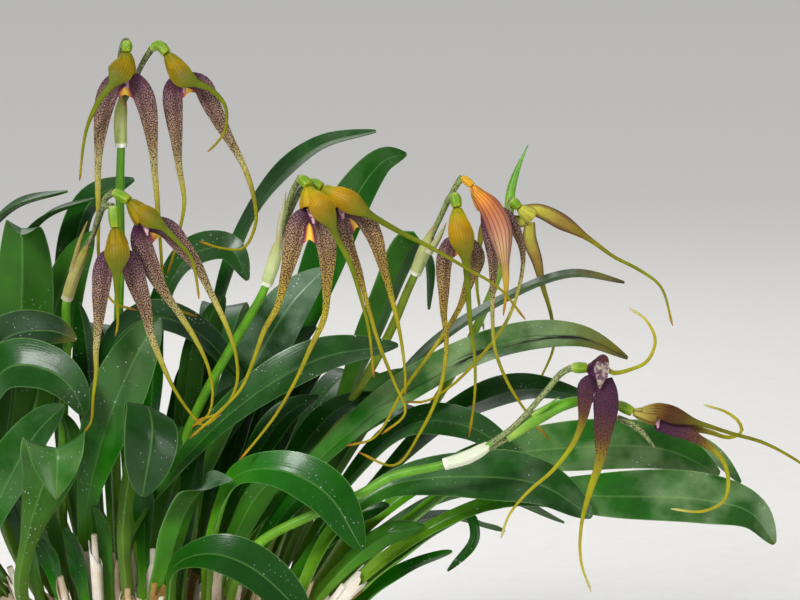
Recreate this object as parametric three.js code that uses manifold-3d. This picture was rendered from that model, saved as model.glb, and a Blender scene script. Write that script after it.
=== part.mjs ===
// Potted Masdevallia cinnamomea: a clump of leafy stems with eleven blooms in a clay pot.
// Millimetres, +Z up. The origin is the centre of the pot's flat base. The front faces -Y.

import * as THREE from 'three';
import { mergeVertices } from 'three/addons/utils/BufferGeometryUtils.js';
import Module from 'manifold-3d';

const wasm = await Module();
wasm.setup();

// Driving dimensions of the pot and its filling
const POT_HEIGHT = 92;
const POT_BASE_RADIUS = 50;
const POT_RIM_RADIUS = 69.5;
const RIM_BAND = 19;
const RIM_STEP = 4;
const WALL = 5;
const FLOOR = 6;
const POT_SIDES = 30;
const DRAIN_RADIUS = 4.5;
const DRAIN_CIRCLE = 24;
const DRAIN_HOLES = 4;
const GAP = 0.3;
const SOIL_Z = 84;
const SOIL_RELIEF = 1.4;
const FOOT_DEPTH = 6;

// Driving dimensions of the leafy stems
const SHEATH_RADIUS = 2.8;
const SHEATH_LENGTH = 26;
const UPRIGHT_HEIGHT = 3;
const BRANCH_HEIGHT = 6;
const STALK_STEP = 0.012;
const STALK_HALF = 2.2;
const STALK_THICK = 2.6;
const STALK_CHANNEL = 0.8;
const STALK_EDGE = 1.4;
const BLADE_THICK = 1.5;
const EDGE_THICK = 0.8;
const KEEL_SHARE = 0.96;
const STALK_SHARE = 0.42;
const WIDEST_AT = 0.6;
const BLADE_RINGS = [0.16, 0.36, 0.57, 0.75, 0.9, 0.98];

// Driving dimensions of the flowering stems and the blooms
const PEDUNCLE_RADIUS = 2;
const PEDUNCLE_RINGS = 12;
const PEDICEL_RADIUS = 1.15;
const OVARY_RADIUS = 2.2;
const BRACT_RADIUS = 2.9;
const SEPAL_THICK = 1.3;
const SEPAL_EDGE = 0.8;
const TAIL_HALF = 0.85;
const TAIL_STEP = 9.5;
const CUP_RADIUS = 4.2;
const CUP_FOOT_RADIUS = 1.7;
const CUP_WALL = 0.9;
const CUP_SIDES = 6;
const STRAND_SIDES = 6;
const CLEARANCE = 0.35;

const FOOT_Z = SOIL_Z - FOOT_DEPTH;

const colours = {
    clay: { color: 0xb06a45, roughness: 0.85, metalness: 0 },
    bark: { color: 0x5a4632, roughness: 0.95, metalness: 0 },
    leaf: { color: 0x1f5a22, roughness: 0.4, metalness: 0 },
    youngLeaf: { color: 0x4d8f33, roughness: 0.45, metalness: 0 },
    stalk: { color: 0x6f9e3a, roughness: 0.5, metalness: 0 },
    yellow: { color: 0xd79a1f, roughness: 0.55, metalness: 0 },
    orange: { color: 0xd9772f, roughness: 0.55, metalness: 0 },
    purple: { color: 0x6b3f3a, roughness: 0.6, metalness: 0 },
    darkPurple: { color: 0x3d1f26, roughness: 0.6, metalness: 0 },
};

const plant = new THREE.Group();
const feet = [];

const vector = (point) => new THREE.Vector3(...point);

// A closed body through rings of points that turn counter-clockwise about the way they follow.
function loft(rings, startPoint, endPoint) {
    const count = rings[0].length;
    const points = rings.flat();
    const faces = [];
    for (let i = 0; i < rings.length - 1; i++) {
        for (let j = 0; j < count; j++) {
            const a = i * count + j;
            const b = i * count + (j + 1) % count;
            faces.push(a, b, b + count, a, b + count, a + count);
        }
    }
    const first = points.push(startPoint) - 1;
    const last = points.push(endPoint) - 1;
    const lastRing = (rings.length - 1) * count;
    for (let j = 0; j < count; j++) {
        const next = (j + 1) % count;
        faces.push(first, next, j);
        faces.push(last, lastRing + j, lastRing + next);
    }
    const geometry = new THREE.BufferGeometry();
    const flat = points.flatMap((point) => [point.x, point.y, point.z]);
    geometry.setAttribute('position', new THREE.Float32BufferAttribute(flat, 3));
    geometry.setIndex(faces);
    return geometry;
}

function toSolid(geometry) {
    const bare = geometry.clone();
    bare.deleteAttribute('normal');
    bare.deleteAttribute('uv');
    const merged = mergeVertices(bare, 1e-4);
    const vertProperties = new Float32Array(merged.attributes.position.array);
    const triVerts = new Uint32Array(merged.index.array);
    return new wasm.Manifold(new wasm.Mesh({ numProp: 3, vertProperties, triVerts }));
}

function toGeometry(solid) {
    const mesh = solid.getMesh();
    const geometry = new THREE.BufferGeometry();
    geometry.setAttribute('position', new THREE.Float32BufferAttribute(mesh.vertProperties, 3));
    geometry.setIndex(Array.from(mesh.triVerts));
    return geometry;
}

// The largest of a solid's separate bodies: crumbs left by a cut are dropped.
function mainBody(solid) {
    const bodies = solid.decompose();
    return bodies.reduce((best, body) => (body.volume() > best.volume() ? body : best));
}

function fuse(geometries) {
    return geometries.map(toSolid).reduce((whole, solid) => whole.add(solid));
}

// Frames along a curve. The face direction holds at one place and is carried both ways from there
// without turning about the curve.
function framesAlong(curve, fractions, face, faceAt) {
    const steps = 96;
    const normals = new Array(steps + 1);
    const start = Math.round(faceAt * steps);
    const carry = (from, to) => {
        const tangent = curve.getTangentAt(to / steps);
        const normal = from.clone().addScaledVector(tangent, -from.dot(tangent)).normalize();
        normals[to] = normal;
        return normal;
    };
    let normal = carry(vector(face), start);
    for (let i = start + 1; i <= steps; i++) {
        normal = carry(normal, i);
    }
    normal = normals[start];
    for (let i = start - 1; i >= 0; i--) {
        normal = carry(normal, i);
    }
    return fractions.map((share) => {
        const fraction = Math.min(share, 1);
        const tangent = curve.getTangentAt(fraction);
        const up = normals[Math.round(fraction * steps)].clone();
        up.addScaledVector(tangent, -up.dot(tangent)).normalize();
        const side = new THREE.Vector3().crossVectors(tangent, up);
        return { at: curve.getPointAt(fraction), tangent, up, side };
    });
}

// A ring from pairs of sideways and upward offsets in a frame.
function ring(frame, offsets) {
    return offsets.map(([sideways, upward]) => frame.at.clone()
        .addScaledVector(frame.side, sideways)
        .addScaledVector(frame.up, upward));
}

const smooth = (points) => new THREE.CatmullRomCurve3(points.map(vector), false, 'centripetal');

// Six offsets of a leaf's section: a channelled upper face and a keeled lower one.
function bladeSection(half, channel, thick, edge) {
    return [
        [-half, channel], [0, 0], [half, channel],
        [KEEL_SHARE * half, channel - edge], [0, -thick], [-KEEL_SHARE * half, channel - edge],
    ];
}

// The straight first stretch of a stem that stands in its hole.
function upright([x, y]) {
    return [[x, y, FOOT_Z], [x, y, SOIL_Z], [x, y, SOIL_Z + UPRIGHT_HEIGHT]];
}

const roundAngles = [30, 90, 150, 210, 270, 330];

function roundSection(radius) {
    return roundAngles.map((angle) => {
        const turn = THREE.MathUtils.degToRad(angle);
        return [-radius * Math.cos(turn), radius * Math.sin(turn)];
    });
}

// Share of the full width at a share of the blade's length: a slow swelling and a blunt tip.
function bladeShape(u) {
    if (u < WIDEST_AT) {
        return THREE.MathUtils.smoothstep(u, -0.05, WIDEST_AT);
    }
    const beyond = (u - WIDEST_AT) / (1 - WIDEST_AT);
    return (1 - beyond ** 2.2) ** 0.65;
}

// One leaf along one path from its foot: a channelled stalk and a leathery blade. The first leaf of
// a foot has a round sheath, which stands upright in the soil. The others branch out of that sheath.
function leaf(shape, sheathed) {
    const { foot, path, width, face, faceAt = 0.65, channel = 0.2, stalkShare = STALK_SHARE } = shape;
    const [x, y] = foot;
    const start = sheathed ? upright(foot) : [[x, y, SOIL_Z + BRANCH_HEIGHT]];
    const curve = smooth([...start, ...path]);
    const length = curve.getLength();
    const sheathEnd = sheathed ? SHEATH_LENGTH / length : 0;
    const round = sheathed ? [0, (FOOT_DEPTH + 2) / length, sheathEnd] : [];
    const stalkStart = sheathed ? sheathEnd + STALK_STEP : 0;
    const stalk = [stalkStart, (sheathEnd + stalkShare) / 2, stalkShare];
    const blade = BLADE_RINGS.map((u) => stalkShare + u * (1 - stalkShare));
    const fractions = [...round, ...stalk, ...blade];
    const frames = framesAlong(curve, fractions, face, faceAt);
    const firstBlade = round.length + stalk.length;
    const rings = frames.map((frame, i) => {
        if (i < round.length) {
            return ring(frame, roundSection(SHEATH_RADIUS));
        }
        if (i < firstBlade) {
            return ring(frame, bladeSection(STALK_HALF, STALK_CHANNEL, STALK_THICK, STALK_EDGE));
        }
        const share = bladeShape(BLADE_RINGS[i - firstBlade]);
        const half = STALK_HALF + (width / 2 - STALK_HALF) * share;
        const thick = THREE.MathUtils.lerp(STALK_THICK, BLADE_THICK, share);
        return ring(frame, bladeSection(half, channel * half, thick, EDGE_THICK));
    });
    const tip = frames[frames.length - 1].at.clone().lerp(curve.getPointAt(1), 0.9);
    return loft(rings, frames[0].at, tip);
}

function addMesh(name, geometry, look, origin = [0, 0, 0]) {
    const [x, y, z] = origin;
    geometry.translate(-x, -y, -z);
    const mesh = new THREE.Mesh(geometry, new THREE.MeshStandardMaterial(colours[look]));
    mesh.name = name;
    mesh.position.set(x, y, z);
    plant.add(mesh);
}

// A leafy stem, or a tuft of stems from one foot, as one body that stands at its foot.
function leafyStem(name, foot, look, ...leaves) {
    feet.push(foot);
    const solids = leaves.map((item, i) => leaf({ foot, ...item }, i === 0));
    addMesh(name, toGeometry(mainBody(fuse(solids))), look, [...foot, FOOT_Z]);
}

// A leaf of a tuft by rule: it rises from the foot, leans out over an azimuth and droops.
function arching(foot, azimuth, reach, height, droop, width) {
    const turn = THREE.MathUtils.degToRad(azimuth);
    const [dx, dy] = [Math.cos(turn), Math.sin(turn)];
    const along = (share, z) => [foot[0] + dx * reach * share, foot[1] + dy * reach * share, z];
    const path = [
        along(0.1, SOIL_Z + 0.4 * height), along(0.3, SOIL_Z + 0.78 * height),
        along(0.65, SOIL_Z + height), along(1, SOIL_Z + height - droop),
    ];
    return { path, width, face: [-0.45 * dx, -0.45 * dy, 0.9] };
}

// Leafy stems of the left side, from the front to the back
leafyStem('leafy_stem_front_left_folded', [-38, -38], 'youngLeaf', {
    path: [[-58, -50, 116], [-54, -57, 146], [-47, -61, 168], [-43, -65, 180], [-41, -73, 181],
        [-41, -78, 163]],
    width: 24, face: [0.15, 1, 0.1], stalkShare: 0.5,
});
leafyStem('leafy_stem_left_diagonal', [-45, -28], 'leaf', {
    path: [[-74, -36, 112], [-76, -42, 135], [-63, -46, 165], [-52, -47, 183], [-41, -47, 194]],
    width: 22, face: [-0.4, -0.75, 0.5],
});
leafyStem('leafy_stem_left_hooked', [-50, -18], 'leaf', {
    path: [[-78, -26, 129], [-79, -30, 177], [-65, -34, 206], [-49, -37, 206], [-39, -40, 199],
        [-34, -41, 188]],
    width: 21, face: [-0.1, -0.65, 0.75], faceAt: 0.75,
});
leafyStem('leafy_stem_left_brown_tip', [-53, -6], 'leaf', {
    path: [[-83, -16, 142], [-82, -17, 191], [-68, -18, 215], [-50, -22, 219], [-38, -27, 216]],
    width: 20, face: [-0.2, -0.6, 0.75], faceAt: 0.75,
});
leafyStem('leafy_stem_left_upright', [-50, 8], 'leaf', {
    path: [[-73, 6, 137], [-67, 4, 187], [-63, 2, 232], [-62, -4, 257], [-61, -16, 256]],
    width: 24, face: [0.1, 1, 0], channel: 0.3,
}, {
    path: [[-84, -1, 123], [-80, -3, 169], [-74, -4, 195], [-66, -6, 206]],
    width: 18, face: [0.2, 1, 0.1],
});
leafyStem('leafy_stem_far_left_arched', [-48, 22], 'leaf', {
    path: [[-92, 24, 175], [-86, 22, 241], [-69, 16, 263], [-45, 12, 271]],
    width: 18, face: [0, -0.15, 1], faceAt: 0.8,
}, {
    path: [[-78, 38, 164], [-76, 40, 227], [-60, 36, 256], [-37, 32, 266]],
    width: 13, face: [0, -0.1, 1], faceAt: 0.8,
});
leafyStem('leafy_stem_left_back', [-38, 35], 'leaf', {
    path: [[-54, 44, 162], [-50, 46, 222], [-41, 44, 262], [-21, 40, 273]],
    width: 18, face: [-0.4, -0.5, 0.7],
}, {
    path: [[-62, 33, 161], [-56, 30, 207], [-47, 26, 237], [-37, 24, 253]],
    width: 20, face: [0.4, 0.9, 0],
});
leafyStem('leafy_stem_front_glossy', [-36, -18], 'leaf', {
    path: [[-36, -22, 112], [-36, -25, 146], [-30, -27, 173], [-23, -27, 193], [-13, -25, 214],
        [-6, -23, 225]],
    width: 23, face: [0.35, -0.9, 0.1],
});
leafyStem('leafy_stem_front_rounded', [-18, -38], 'leaf', {
    path: [[-18, -44, 116], [-19, -48, 145], [-14, -50, 177], [-9, -54, 195], [-6, -62, 188],
        [-10, -64, 161]],
    width: 23, face: [0, 1, 0.05],
});
leafyStem('leafy_stem_dark_arch', [-24, 2], 'leaf', {
    path: [[-32, 0, 121], [-34, 0, 171], [-27, 1, 210], [-12, 1, 221], [7, 0, 215], [26, -1, 194]],
    width: 16, face: [0, -0.55, 0.8], faceAt: 0.75,
});

// Leafy stems of the middle
leafyStem('leafy_stem_big_diagonal', [-28, -8], 'leaf', {
    path: [[-25, -14, 108], [-18, -20, 139], [-5, -25, 159], [25, -28, 190], [57, -28, 209], [88, -26, 214]],
    width: 19, face: [-0.35, -0.65, 0.65],
});
leafyStem('leafy_stem_front_grey_tip', [-4, -36], 'youngLeaf', {
    path: [[-7, -42, 116], [-2, -47, 134], [6, -53, 156], [15, -58, 166], [25, -64, 168]],
    width: 16, face: [-0.6, 0.7, 0.4],
});
leafyStem('leafy_stem_front_bright', [12, -34], 'leaf', {
    path: [[12, -42, 116], [15, -47, 143], [25, -53, 167], [42, -60, 171], [60, -65, 163], [74, -67, 141]],
    width: 18, face: [0.1, -0.8, 0.6], stalkShare: 0.5,
});
leafyStem('leafy_stem_front_low', [2, -50], 'leaf', {
    path: [[-1, -57, 119], [2, -61, 134], [16, -67, 140], [31, -71, 136], [46, -75, 124], [54, -77, 114]],
    width: 19, face: [0.1, -0.7, 0.7], stalkShare: 0.36,
});
leafyStem('leafy_stem_sheened', [-4, 12], 'leaf', {
    path: [[-5, 10, 105], [7, 8, 155], [24, 6, 191], [43, 5, 224], [58, 8, 240]],
    width: 23, face: [-0.4, -0.9, 0.1],
});
leafyStem('leafy_stem_recurved_middle', [-20, 20], 'leaf', {
    path: [[-26, 24, 100], [-19, 26, 167], [-10, 24, 221], [2, 20, 243], [19, 14, 247], [27, 10, 234]],
    width: 17, face: [0, -0.5, 0.85], faceAt: 0.8,
});
leafyStem('leafy_stem_tall', [-14, 36], 'leaf', {
    path: [[-5, 42, 95], [3, 46, 163], [13, 46, 222], [31, 45, 264], [54, 42, 286], [79, 38, 293]],
    width: 16, face: [-0.5, -0.3, 0.8],
});
leafyStem('leafy_stem_broad_top', [8, 32], 'leaf', {
    path: [[15, 34, 96], [31, 35, 164], [51, 34, 223], [68, 32, 263], [81, 28, 281], [91, 20, 285]],
    width: 20, face: [-0.4, -0.85, 0.3],
});
leafyStem('leafy_stem_hooked_top', [32, 28], 'leaf', {
    path: [[40, 30, 97], [59, 32, 165], [80, 30, 220], [94, 26, 249], [99, 20, 242], [100, 16, 221]],
    width: 15, face: [-0.5, 0.8, 0.3],
});

// Leafy stems of the right side, from the front to the back
leafyStem('leafy_stem_right_low_broad', [40, -26], 'leaf', {
    path: [[48, -27, 113], [62, -28, 141], [84, -28, 158], [118, -29, 162], [143, -30, 159], [164, -31, 146]],
    width: 22, face: [0, -0.8, 0.6],
});
leafyStem('leafy_stem_right_lowest', [50, -14], 'leaf', {
    path: [[64, -15, 109], [96, -16, 136], [132, -17, 151], [171, -19, 152], [208, -21, 151], [227, -22, 146],
        [237, -23, 133]],
    width: 22, face: [0.1, -0.85, 0.5], stalkShare: 0.46,
});
leafyStem('leafy_stem_right_long', [38, -2], 'leaf', {
    path: [[52, -1, 106], [76, 0, 137], [112, 0, 161], [152, -2, 168], [194, -4, 168], [217, -6, 158]],
    width: 22, face: [0, -0.85, 0.5],
}, {
    path: [[60, 4, 106], [90, 12, 134], [130, 18, 160], [178, 20, 169], [212, 18, 164], [228, 14, 150]],
    width: 17, face: [0, -0.4, 0.9],
});
leafyStem('leafy_stem_spotted', [22, -12], 'leaf', {
    path: [[13, -13, 108], [24, -14, 132], [45, -12, 155], [84, -9, 189], [127, -7, 211], [159, -6, 214],
        [180, -6, 205]],
    width: 17, face: [-0.1, -0.6, 0.78],
});
leafyStem('leafy_stem_right_thin', [20, 16], 'leaf', {
    path: [[31, 18, 100], [59, 19, 150], [93, 19, 199], [129, 18, 225], [157, 17, 236], [180, 16, 233]],
    width: 15, face: [0, -0.05, 1],
});
leafyStem('leafy_stem_right_inner', [28, 4], 'leaf', {
    path: [[39, 4, 104], [64, 3, 150], [92, -3, 178], [116, -9, 178], [139, -15, 163]],
    width: 15, face: [0, -0.55, 0.83],
}, {
    path: [[46, 12, 104], [76, 17, 147], [108, 18, 177], [137, 16, 189], [166, 14, 186]],
    width: 17, face: [0, -0.45, 0.9],
});
leafyStem('leafy_stem_young_shoots', [52, 2], 'youngLeaf', {
    path: [[72, -7, 106], [82, -9, 115], [93, -11, 122], [109, -15, 129]],
    width: 7, face: [-0.2, -0.5, 0.8],
}, {
    path: [[66, 4, 104], [88, 6, 122], [106, 5, 135], [116, 3, 139], [118, 1, 130], [107, -2, 117]],
    width: 5, face: [-0.2, -0.5, 0.8],
});

// Tufts of the back, two or three leaves from one foot each: azimuth, reach, height, droop and width
const tufts = {
    back_left: [[-24, 46], [104, 95, 118, 22, 20], [122, 110, 96, 18, 18], [142, 96, 66, 14, 17]],
    back: [[2, 51], [62, 98, 108, 20, 20], [84, 112, 124, 30, 20]],
    back_right: [[27, 44], [30, 112, 84, 16, 18], [52, 100, 98, 24, 20], [76, 86, 70, 16, 17]],
    right_back: [[50, 17], [8, 108, 60, 14, 17], [30, 96, 45, 10, 16]],
};
for (const [name, [foot, ...leaves]] of Object.entries(tufts)) {
    leafyStem(`leafy_tuft_${name}`, foot, 'leaf', ...leaves.map((values) => arching(foot, ...values)));
}

// A round strand whose radii are spread evenly along its path after a straight first stretch.
function strand(points, radii, grow = 0, straight = 0) {
    const curve = smooth(points);
    const count = radii.length - 1;
    const first = straight / curve.getLength();
    const fractions = radii.map((radius, i) => (i === 0 ? 0 : first + (1 - first) * i / count));
    if (straight > 0) {
        fractions[1] = first;
    }
    const frames = framesAlong(curve, fractions, [0.3, -0.5, 0.8], 0);
    frames[0].at.addScaledVector(frames[0].tangent, -grow);
    frames[count].at.addScaledVector(frames[count].tangent, grow);
    const rings = frames.map((frame, i) => {
        const offsets = [];
        for (let j = 0; j < STRAND_SIDES; j++) {
            const turn = 2 * Math.PI * j / STRAND_SIDES;
            const radius = radii[i] + grow;
            offsets.push([radius * Math.sin(turn), radius * Math.cos(turn)]);
        }
        return ring(frame, offsets);
    });
    return loft(rings, frames[0].at, frames[count].at);
}

const pedicelRadii = [PEDICEL_RADIUS, PEDICEL_RADIUS, PEDICEL_RADIUS, 1.3];
const ovaryRadii = [OVARY_RADIUS - 0.3, OVARY_RADIUS, 1.7];

// A pedicel and its ovary, grown by a clearance where they are cut out of a bloom.
function flowerStalk({ pedicel, ovary }, grow = 0) {
    return [strand(pedicel, pedicelRadii, grow), strand(ovary, ovaryRadii, grow)];
}

function floweringStem(name, { foot, peduncle, bract, stalks }) {
    feet.push(foot);
    const radii = new Array(PEDUNCLE_RINGS).fill(PEDUNCLE_RADIUS);
    const pieces = [strand([...upright(foot), ...peduncle], radii, 0, FOOT_DEPTH + UPRIGHT_HEIGHT)];
    pieces.push(strand(bract, [PEDUNCLE_RADIUS + 0.5, BRACT_RADIUS, 1.6]));
    stalks.forEach((stalk) => pieces.push(...flowerStalk(stalk)));
    addMesh(name, toGeometry(mainBody(fuse(pieces))), 'stalk', [...foot, FOOT_Z]);
}

// Half width at a share of a sepal's body: from its root over its widest place down to its tail.
function sepalHalf(u, root, widest) {
    if (u < 0.45) {
        return THREE.MathUtils.lerp(root, widest, Math.sin(Math.PI / 2 * u / 0.45));
    }
    const beyond = (u - 0.45) / 0.55;
    return THREE.MathUtils.lerp(widest, TAIL_HALF, beyond * beyond * (3 - 2 * beyond));
}

// One sepal: a flat body that narrows into a long round tail.
function sepal({ path, body, width, root, face, faceAt = 0.2 }, grow = 0) {
    const curve = smooth(path);
    const length = curve.getLength();
    const bodyShare = Math.min(body / length, 0.9);
    const shares = [0, 0.2, 0.45, 0.72, 1];
    const fractions = shares.map((u) => u * bodyShare);
    const tailRings = Math.max(2, Math.round(length * (1 - bodyShare) / TAIL_STEP));
    for (let i = 1; i <= tailRings; i++) {
        fractions.push(bodyShare + (1 - bodyShare) * i / tailRings);
    }
    const frames = framesAlong(curve, fractions, face, faceAt);
    const rings = frames.map((frame, i) => {
        const half = (i < shares.length ? sepalHalf(shares[i], root, width / 2) : TAIL_HALF) + grow;
        const hollow = i < shares.length - 1 ? 0.12 * half : 0;
        const edge = SEPAL_EDGE / 2 + grow;
        const thick = SEPAL_THICK / 2 + grow;
        return ring(frame, [
            [-half, hollow + edge], [0, thick], [half, hollow + edge],
            [half, hollow - edge], [0, -thick], [-half, hollow - edge],
        ]);
    });
    const last = frames[frames.length - 1];
    return loft(rings, frames[0].at, last.at.clone().addScaledVector(last.tangent, 0.6 + grow));
}

// The hollow cup from the end of the ovary to the mouth, or its full shape grown by a clearance.
function cup(from, to, grow = 0) {
    const start = vector(from);
    const axis = vector(to).sub(start);
    const length = axis.length();
    axis.normalize();
    const up = new THREE.Vector3(0.3, 0.9, 0.2);
    up.addScaledVector(axis, -up.dot(axis)).normalize();
    const side = new THREE.Vector3().crossVectors(axis, up);
    const outside = [
        [GAP - grow, CUP_FOOT_RADIUS], [0.35 * length, 3.1],
        [0.75 * length, CUP_RADIUS], [length + grow, CUP_RADIUS],
    ];
    const inside = [[length - 0.4, CUP_RADIUS - CUP_WALL], [0.45 * length, 1.8]];
    const profile = grow > 0 ? outside : [...outside, ...inside];
    const rings = profile.map(([along, radius]) => {
        const offsets = [];
        for (let j = 0; j < CUP_SIDES; j++) {
            const turn = 2 * Math.PI * j / CUP_SIDES;
            offsets.push([(radius + grow) * Math.sin(turn), (radius + grow) * Math.cos(turn)]);
        }
        return ring({ at: start.clone().addScaledVector(axis, along), side, up }, offsets);
    });
    const point = (along) => start.clone().addScaledVector(axis, along);
    return loft(rings, point(profile[0][0]), point(profile[profile.length - 1][0]));
}

// A bloom: the cup with the upper sepal, and the two side sepals that are joined at their root.
function bloom(name, stalk, { mouth, dorsal, left, right }, looks = ['yellow', 'purple']) {
    const ovaryEnd = stalk.ovary[stalk.ovary.length - 1];
    const stalkRoom = fuse(flowerStalk(stalk, CLEARANCE));
    const upper = fuse([cup(ovaryEnd, mouth), sepal(dorsal)]).subtract(stalkRoom);
    const upperRoom = fuse([cup(ovaryEnd, mouth, CLEARANCE), sepal(dorsal, CLEARANCE)]);
    const lower = fuse([sepal(left), sepal(right)]).subtract(upperRoom).subtract(stalkRoom);
    addMesh(`bloom_${name}_cup_and_upper_sepal`, toGeometry(mainBody(upper)), looks[0], ovaryEnd);
    addMesh(`bloom_${name}_side_sepals`, toGeometry(mainBody(lower)), looks[1], ovaryEnd);
}

// Flower stalks: each pedicel with its ovary
const stalks = {
    a1: {
        pedicel: [[-21, -9, 307], [-22, -9, 318], [-21, -11, 328], [-19, -15, 332], [-18, -18, 332]],
        ovary: [[-18, -18, 332], [-18, -19, 328]],
    },
    a2: {
        pedicel: [[-21, -9, 307], [-17, -7, 315], [-13, -7, 323], [-9, -9, 329]],
        ovary: [[-9, -9, 329], [-6, -11, 330], [-3, -13, 327]],
    },
    b1: {
        pedicel: [[-35, -27, 251], [-31, -31, 258], [-28, -35, 266], [-25, -39, 270], [-22, -41, 270]],
        ovary: [[-22, -41, 270], [-21, -43, 262]],
    },
    b2: {
        pedicel: [[-33, -28, 253], [-28, -33, 265], [-25, -35, 273], [-22, -36, 275]],
        ovary: [[-22, -36, 275], [-16, -39, 272]],
    },
    c1: {
        pedicel: [[41, -33, 254], [44, -35, 267], [47, -37, 276], [50, -39, 281]],
        ovary: [[50, -39, 281], [53, -42, 278]],
    },
    c2: {
        pedicel: [[41, -32, 254], [46, -33, 268], [50, -34, 276], [53, -35, 279]],
        ovary: [[53, -35, 279], [58, -37, 277]],
    },
    d1: {
        pedicel: [[100, -24, 256], [104, -27, 265], [107, -30, 272], [109, -32, 274]],
        ovary: [[109, -32, 274], [110, -34, 269]],
    },
    d2: {
        pedicel: [[100, -23, 256], [106, -26, 269], [110, -28, 277], [112, -29, 280]],
        ovary: [[112, -29, 280], [116, -31, 277]],
    },
    e1: {
        pedicel: [[134, 42, 256], [133, 42, 261], [134, 41, 264]],
        ovary: [[134, 41, 264], [137, 41, 261]],
    },
    f1: {
        pedicel: [[121, -50, 178], [132, -49, 186], [144, -47, 199], [150, -46, 206], [154, -45, 208]],
        ovary: [[154, -45, 208], [160, -45, 208]],
    },
    f2: {
        pedicel: [[122, -49, 177], [135, -46, 184], [148, -42, 193], [159, -40, 195], [172, -40, 193]],
        ovary: [[172, -40, 193], [178, -41, 190]],
    },
};

floweringStem('flowering_stem_a', {
    foot: [-26, 14],
    peduncle: [[-28, 13, 165], [-26, 11, 215], [-24, 4, 248], [-23, -4, 272], [-22, -7, 290]],
    bract: [[-22, -7, 290], [-22, -8, 301], [-21, -9, 309]],
    stalks: [stalks.a1, stalks.a2],
});
floweringStem('flowering_stem_b', {
    foot: [-46, 0],
    peduncle: [[-48, -4, 123], [-47, -6, 168], [-46, -8, 193], [-44, -12, 212], [-43, -18, 231]],
    bract: [[-43, -18, 231], [-39, -23, 242], [-34, -28, 252]],
    stalks: [stalks.b1, stalks.b2],
});
floweringStem('flowering_stem_c', {
    foot: [-12, 0],
    peduncle: [[-11, -1, 122], [-7, -3, 151], [0, -6, 169], [11, -13, 193], [24, -20, 216], [36, -29, 238]],
    bract: [[36, -29, 238], [39, -31, 247], [41, -33, 255]],
    stalks: [stalks.c1, stalks.c2],
});
floweringStem('flowering_stem_d', {
    foot: [22, 8],
    peduncle: [[32, 8, 120], [56, 7, 169], [70, 3, 189], [84, -7, 216], [91, -16, 234], [94, -18, 241]],
    bract: [[94, -18, 241], [97, -21, 249], [100, -24, 257]],
    stalks: [stalks.d1, stalks.d2],
});
floweringStem('flowering_stem_e', {
    foot: [42, 32],
    peduncle: [[57, 37, 108], [86, 41, 153], [111, 38, 194], [125, 40, 223], [132, 41, 243], [134, 42, 256]],
    bract: [[133, 43, 255], [134, 46, 267], [137, 47, 277], [141, 48, 286]],
    stalks: [stalks.e1],
});
floweringStem('flowering_stem_f', {
    foot: [20, -30],
    peduncle: [[22, -36, 118], [32, -41, 137], [58, -45, 152], [73, -47, 159], [85, -48, 166],
        [105, -49, 171]],
    bract: [[105, -49, 171], [114, -50, 174], [123, -50, 179]],
    stalks: [stalks.f1, stalks.f2],
});

const FRONT = [0, -1, 0.15];

bloom('a1', stalks.a1, {
    mouth: [-19, -19, 320],
    dorsal: {
        path: [[-18, -21, 326], [-20, -25, 321], [-23, -26, 316], [-28, -26, 310], [-33, -24, 300],
            [-35, -23, 292], [-36, -22, 285], [-37, -20, 278]],
        body: 15, width: 10, root: 3, face: FRONT,
    },
    left: {
        path: [[-19, -18, 318], [-24, -18, 315], [-27, -18, 308], [-29, -18, 296], [-30, -18, 283],
            [-30, -19, 266], [-30, -20, 247], [-28, -21, 236], [-24, -22, 230], [-15, -22, 227]],
        body: 36, width: 8.5, root: 3, face: FRONT,
    },
    right: {
        path: [[-18, -18, 318], [-14, -18, 315], [-11, -18, 308], [-9, -18, 296], [-8, -18, 283],
            [-7, -17, 268], [-6, -16, 250], [-5, -16, 238], [0, -16, 227], [8, -18, 224]],
        body: 36, width: 8.5, root: 3, face: FRONT,
    },
});
bloom('a2', stalks.a2, {
    mouth: [3, -15, 318],
    dorsal: {
        path: [[-1, -16, 325], [3, -20, 319], [9, -21, 316], [15, -20, 313], [20, -20, 307], [20, -19, 298],
            [17, -18, 293], [13, -18, 289]],
        body: 18, width: 9, root: 3, face: FRONT,
    },
    left: {
        path: [[2, -13, 317], [-1, -11, 313], [-1, -11, 306], [0, -11, 295], [1, -11, 283], [3, -11, 269],
            [1, -11, 257], [-2, -11, 246], [-4, -11, 240]],
        body: 36, width: 8, root: 3, face: FRONT,
    },
    right: {
        path: [[3, -13, 317], [10, -11, 315], [14, -11, 307], [20, -11, 295], [26, -11, 284], [30, -10, 272],
            [31, -9, 260], [26, -9, 250], [18, -10, 250], [9, -12, 253]],
        body: 40, width: 8, root: 3, face: FRONT,
    },
});
bloom('b1', stalks.b1, {
    mouth: [-20, -45, 254],
    dorsal: {
        path: [[-21, -45, 260], [-20, -49, 255], [-20, -50, 247], [-20, -50, 240], [-20, -49, 233],
            [-20, -49, 225], [-21, -49, 221]],
        body: 19, width: 10, root: 3, face: FRONT,
    },
    left: {
        path: [[-21, -43, 252], [-25, -42, 249], [-27, -42, 238], [-28, -43, 225], [-29, -44, 215],
            [-29, -45, 206], [-30, -47, 197], [-31, -48, 187], [-34, -49, 183]],
        body: 36, width: 8, root: 3, face: FRONT,
    },
    right: {
        path: [[-20, -43, 252], [-16, -42, 249], [-13, -42, 240], [-10, -43, 231], [-8, -43, 221],
            [-4, -43, 210], [1, -43, 199], [7, -43, 190], [12, -43, 185], [19, -43, 190]],
        body: 36, width: 8.5, root: 3, face: FRONT,
    },
});
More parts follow.
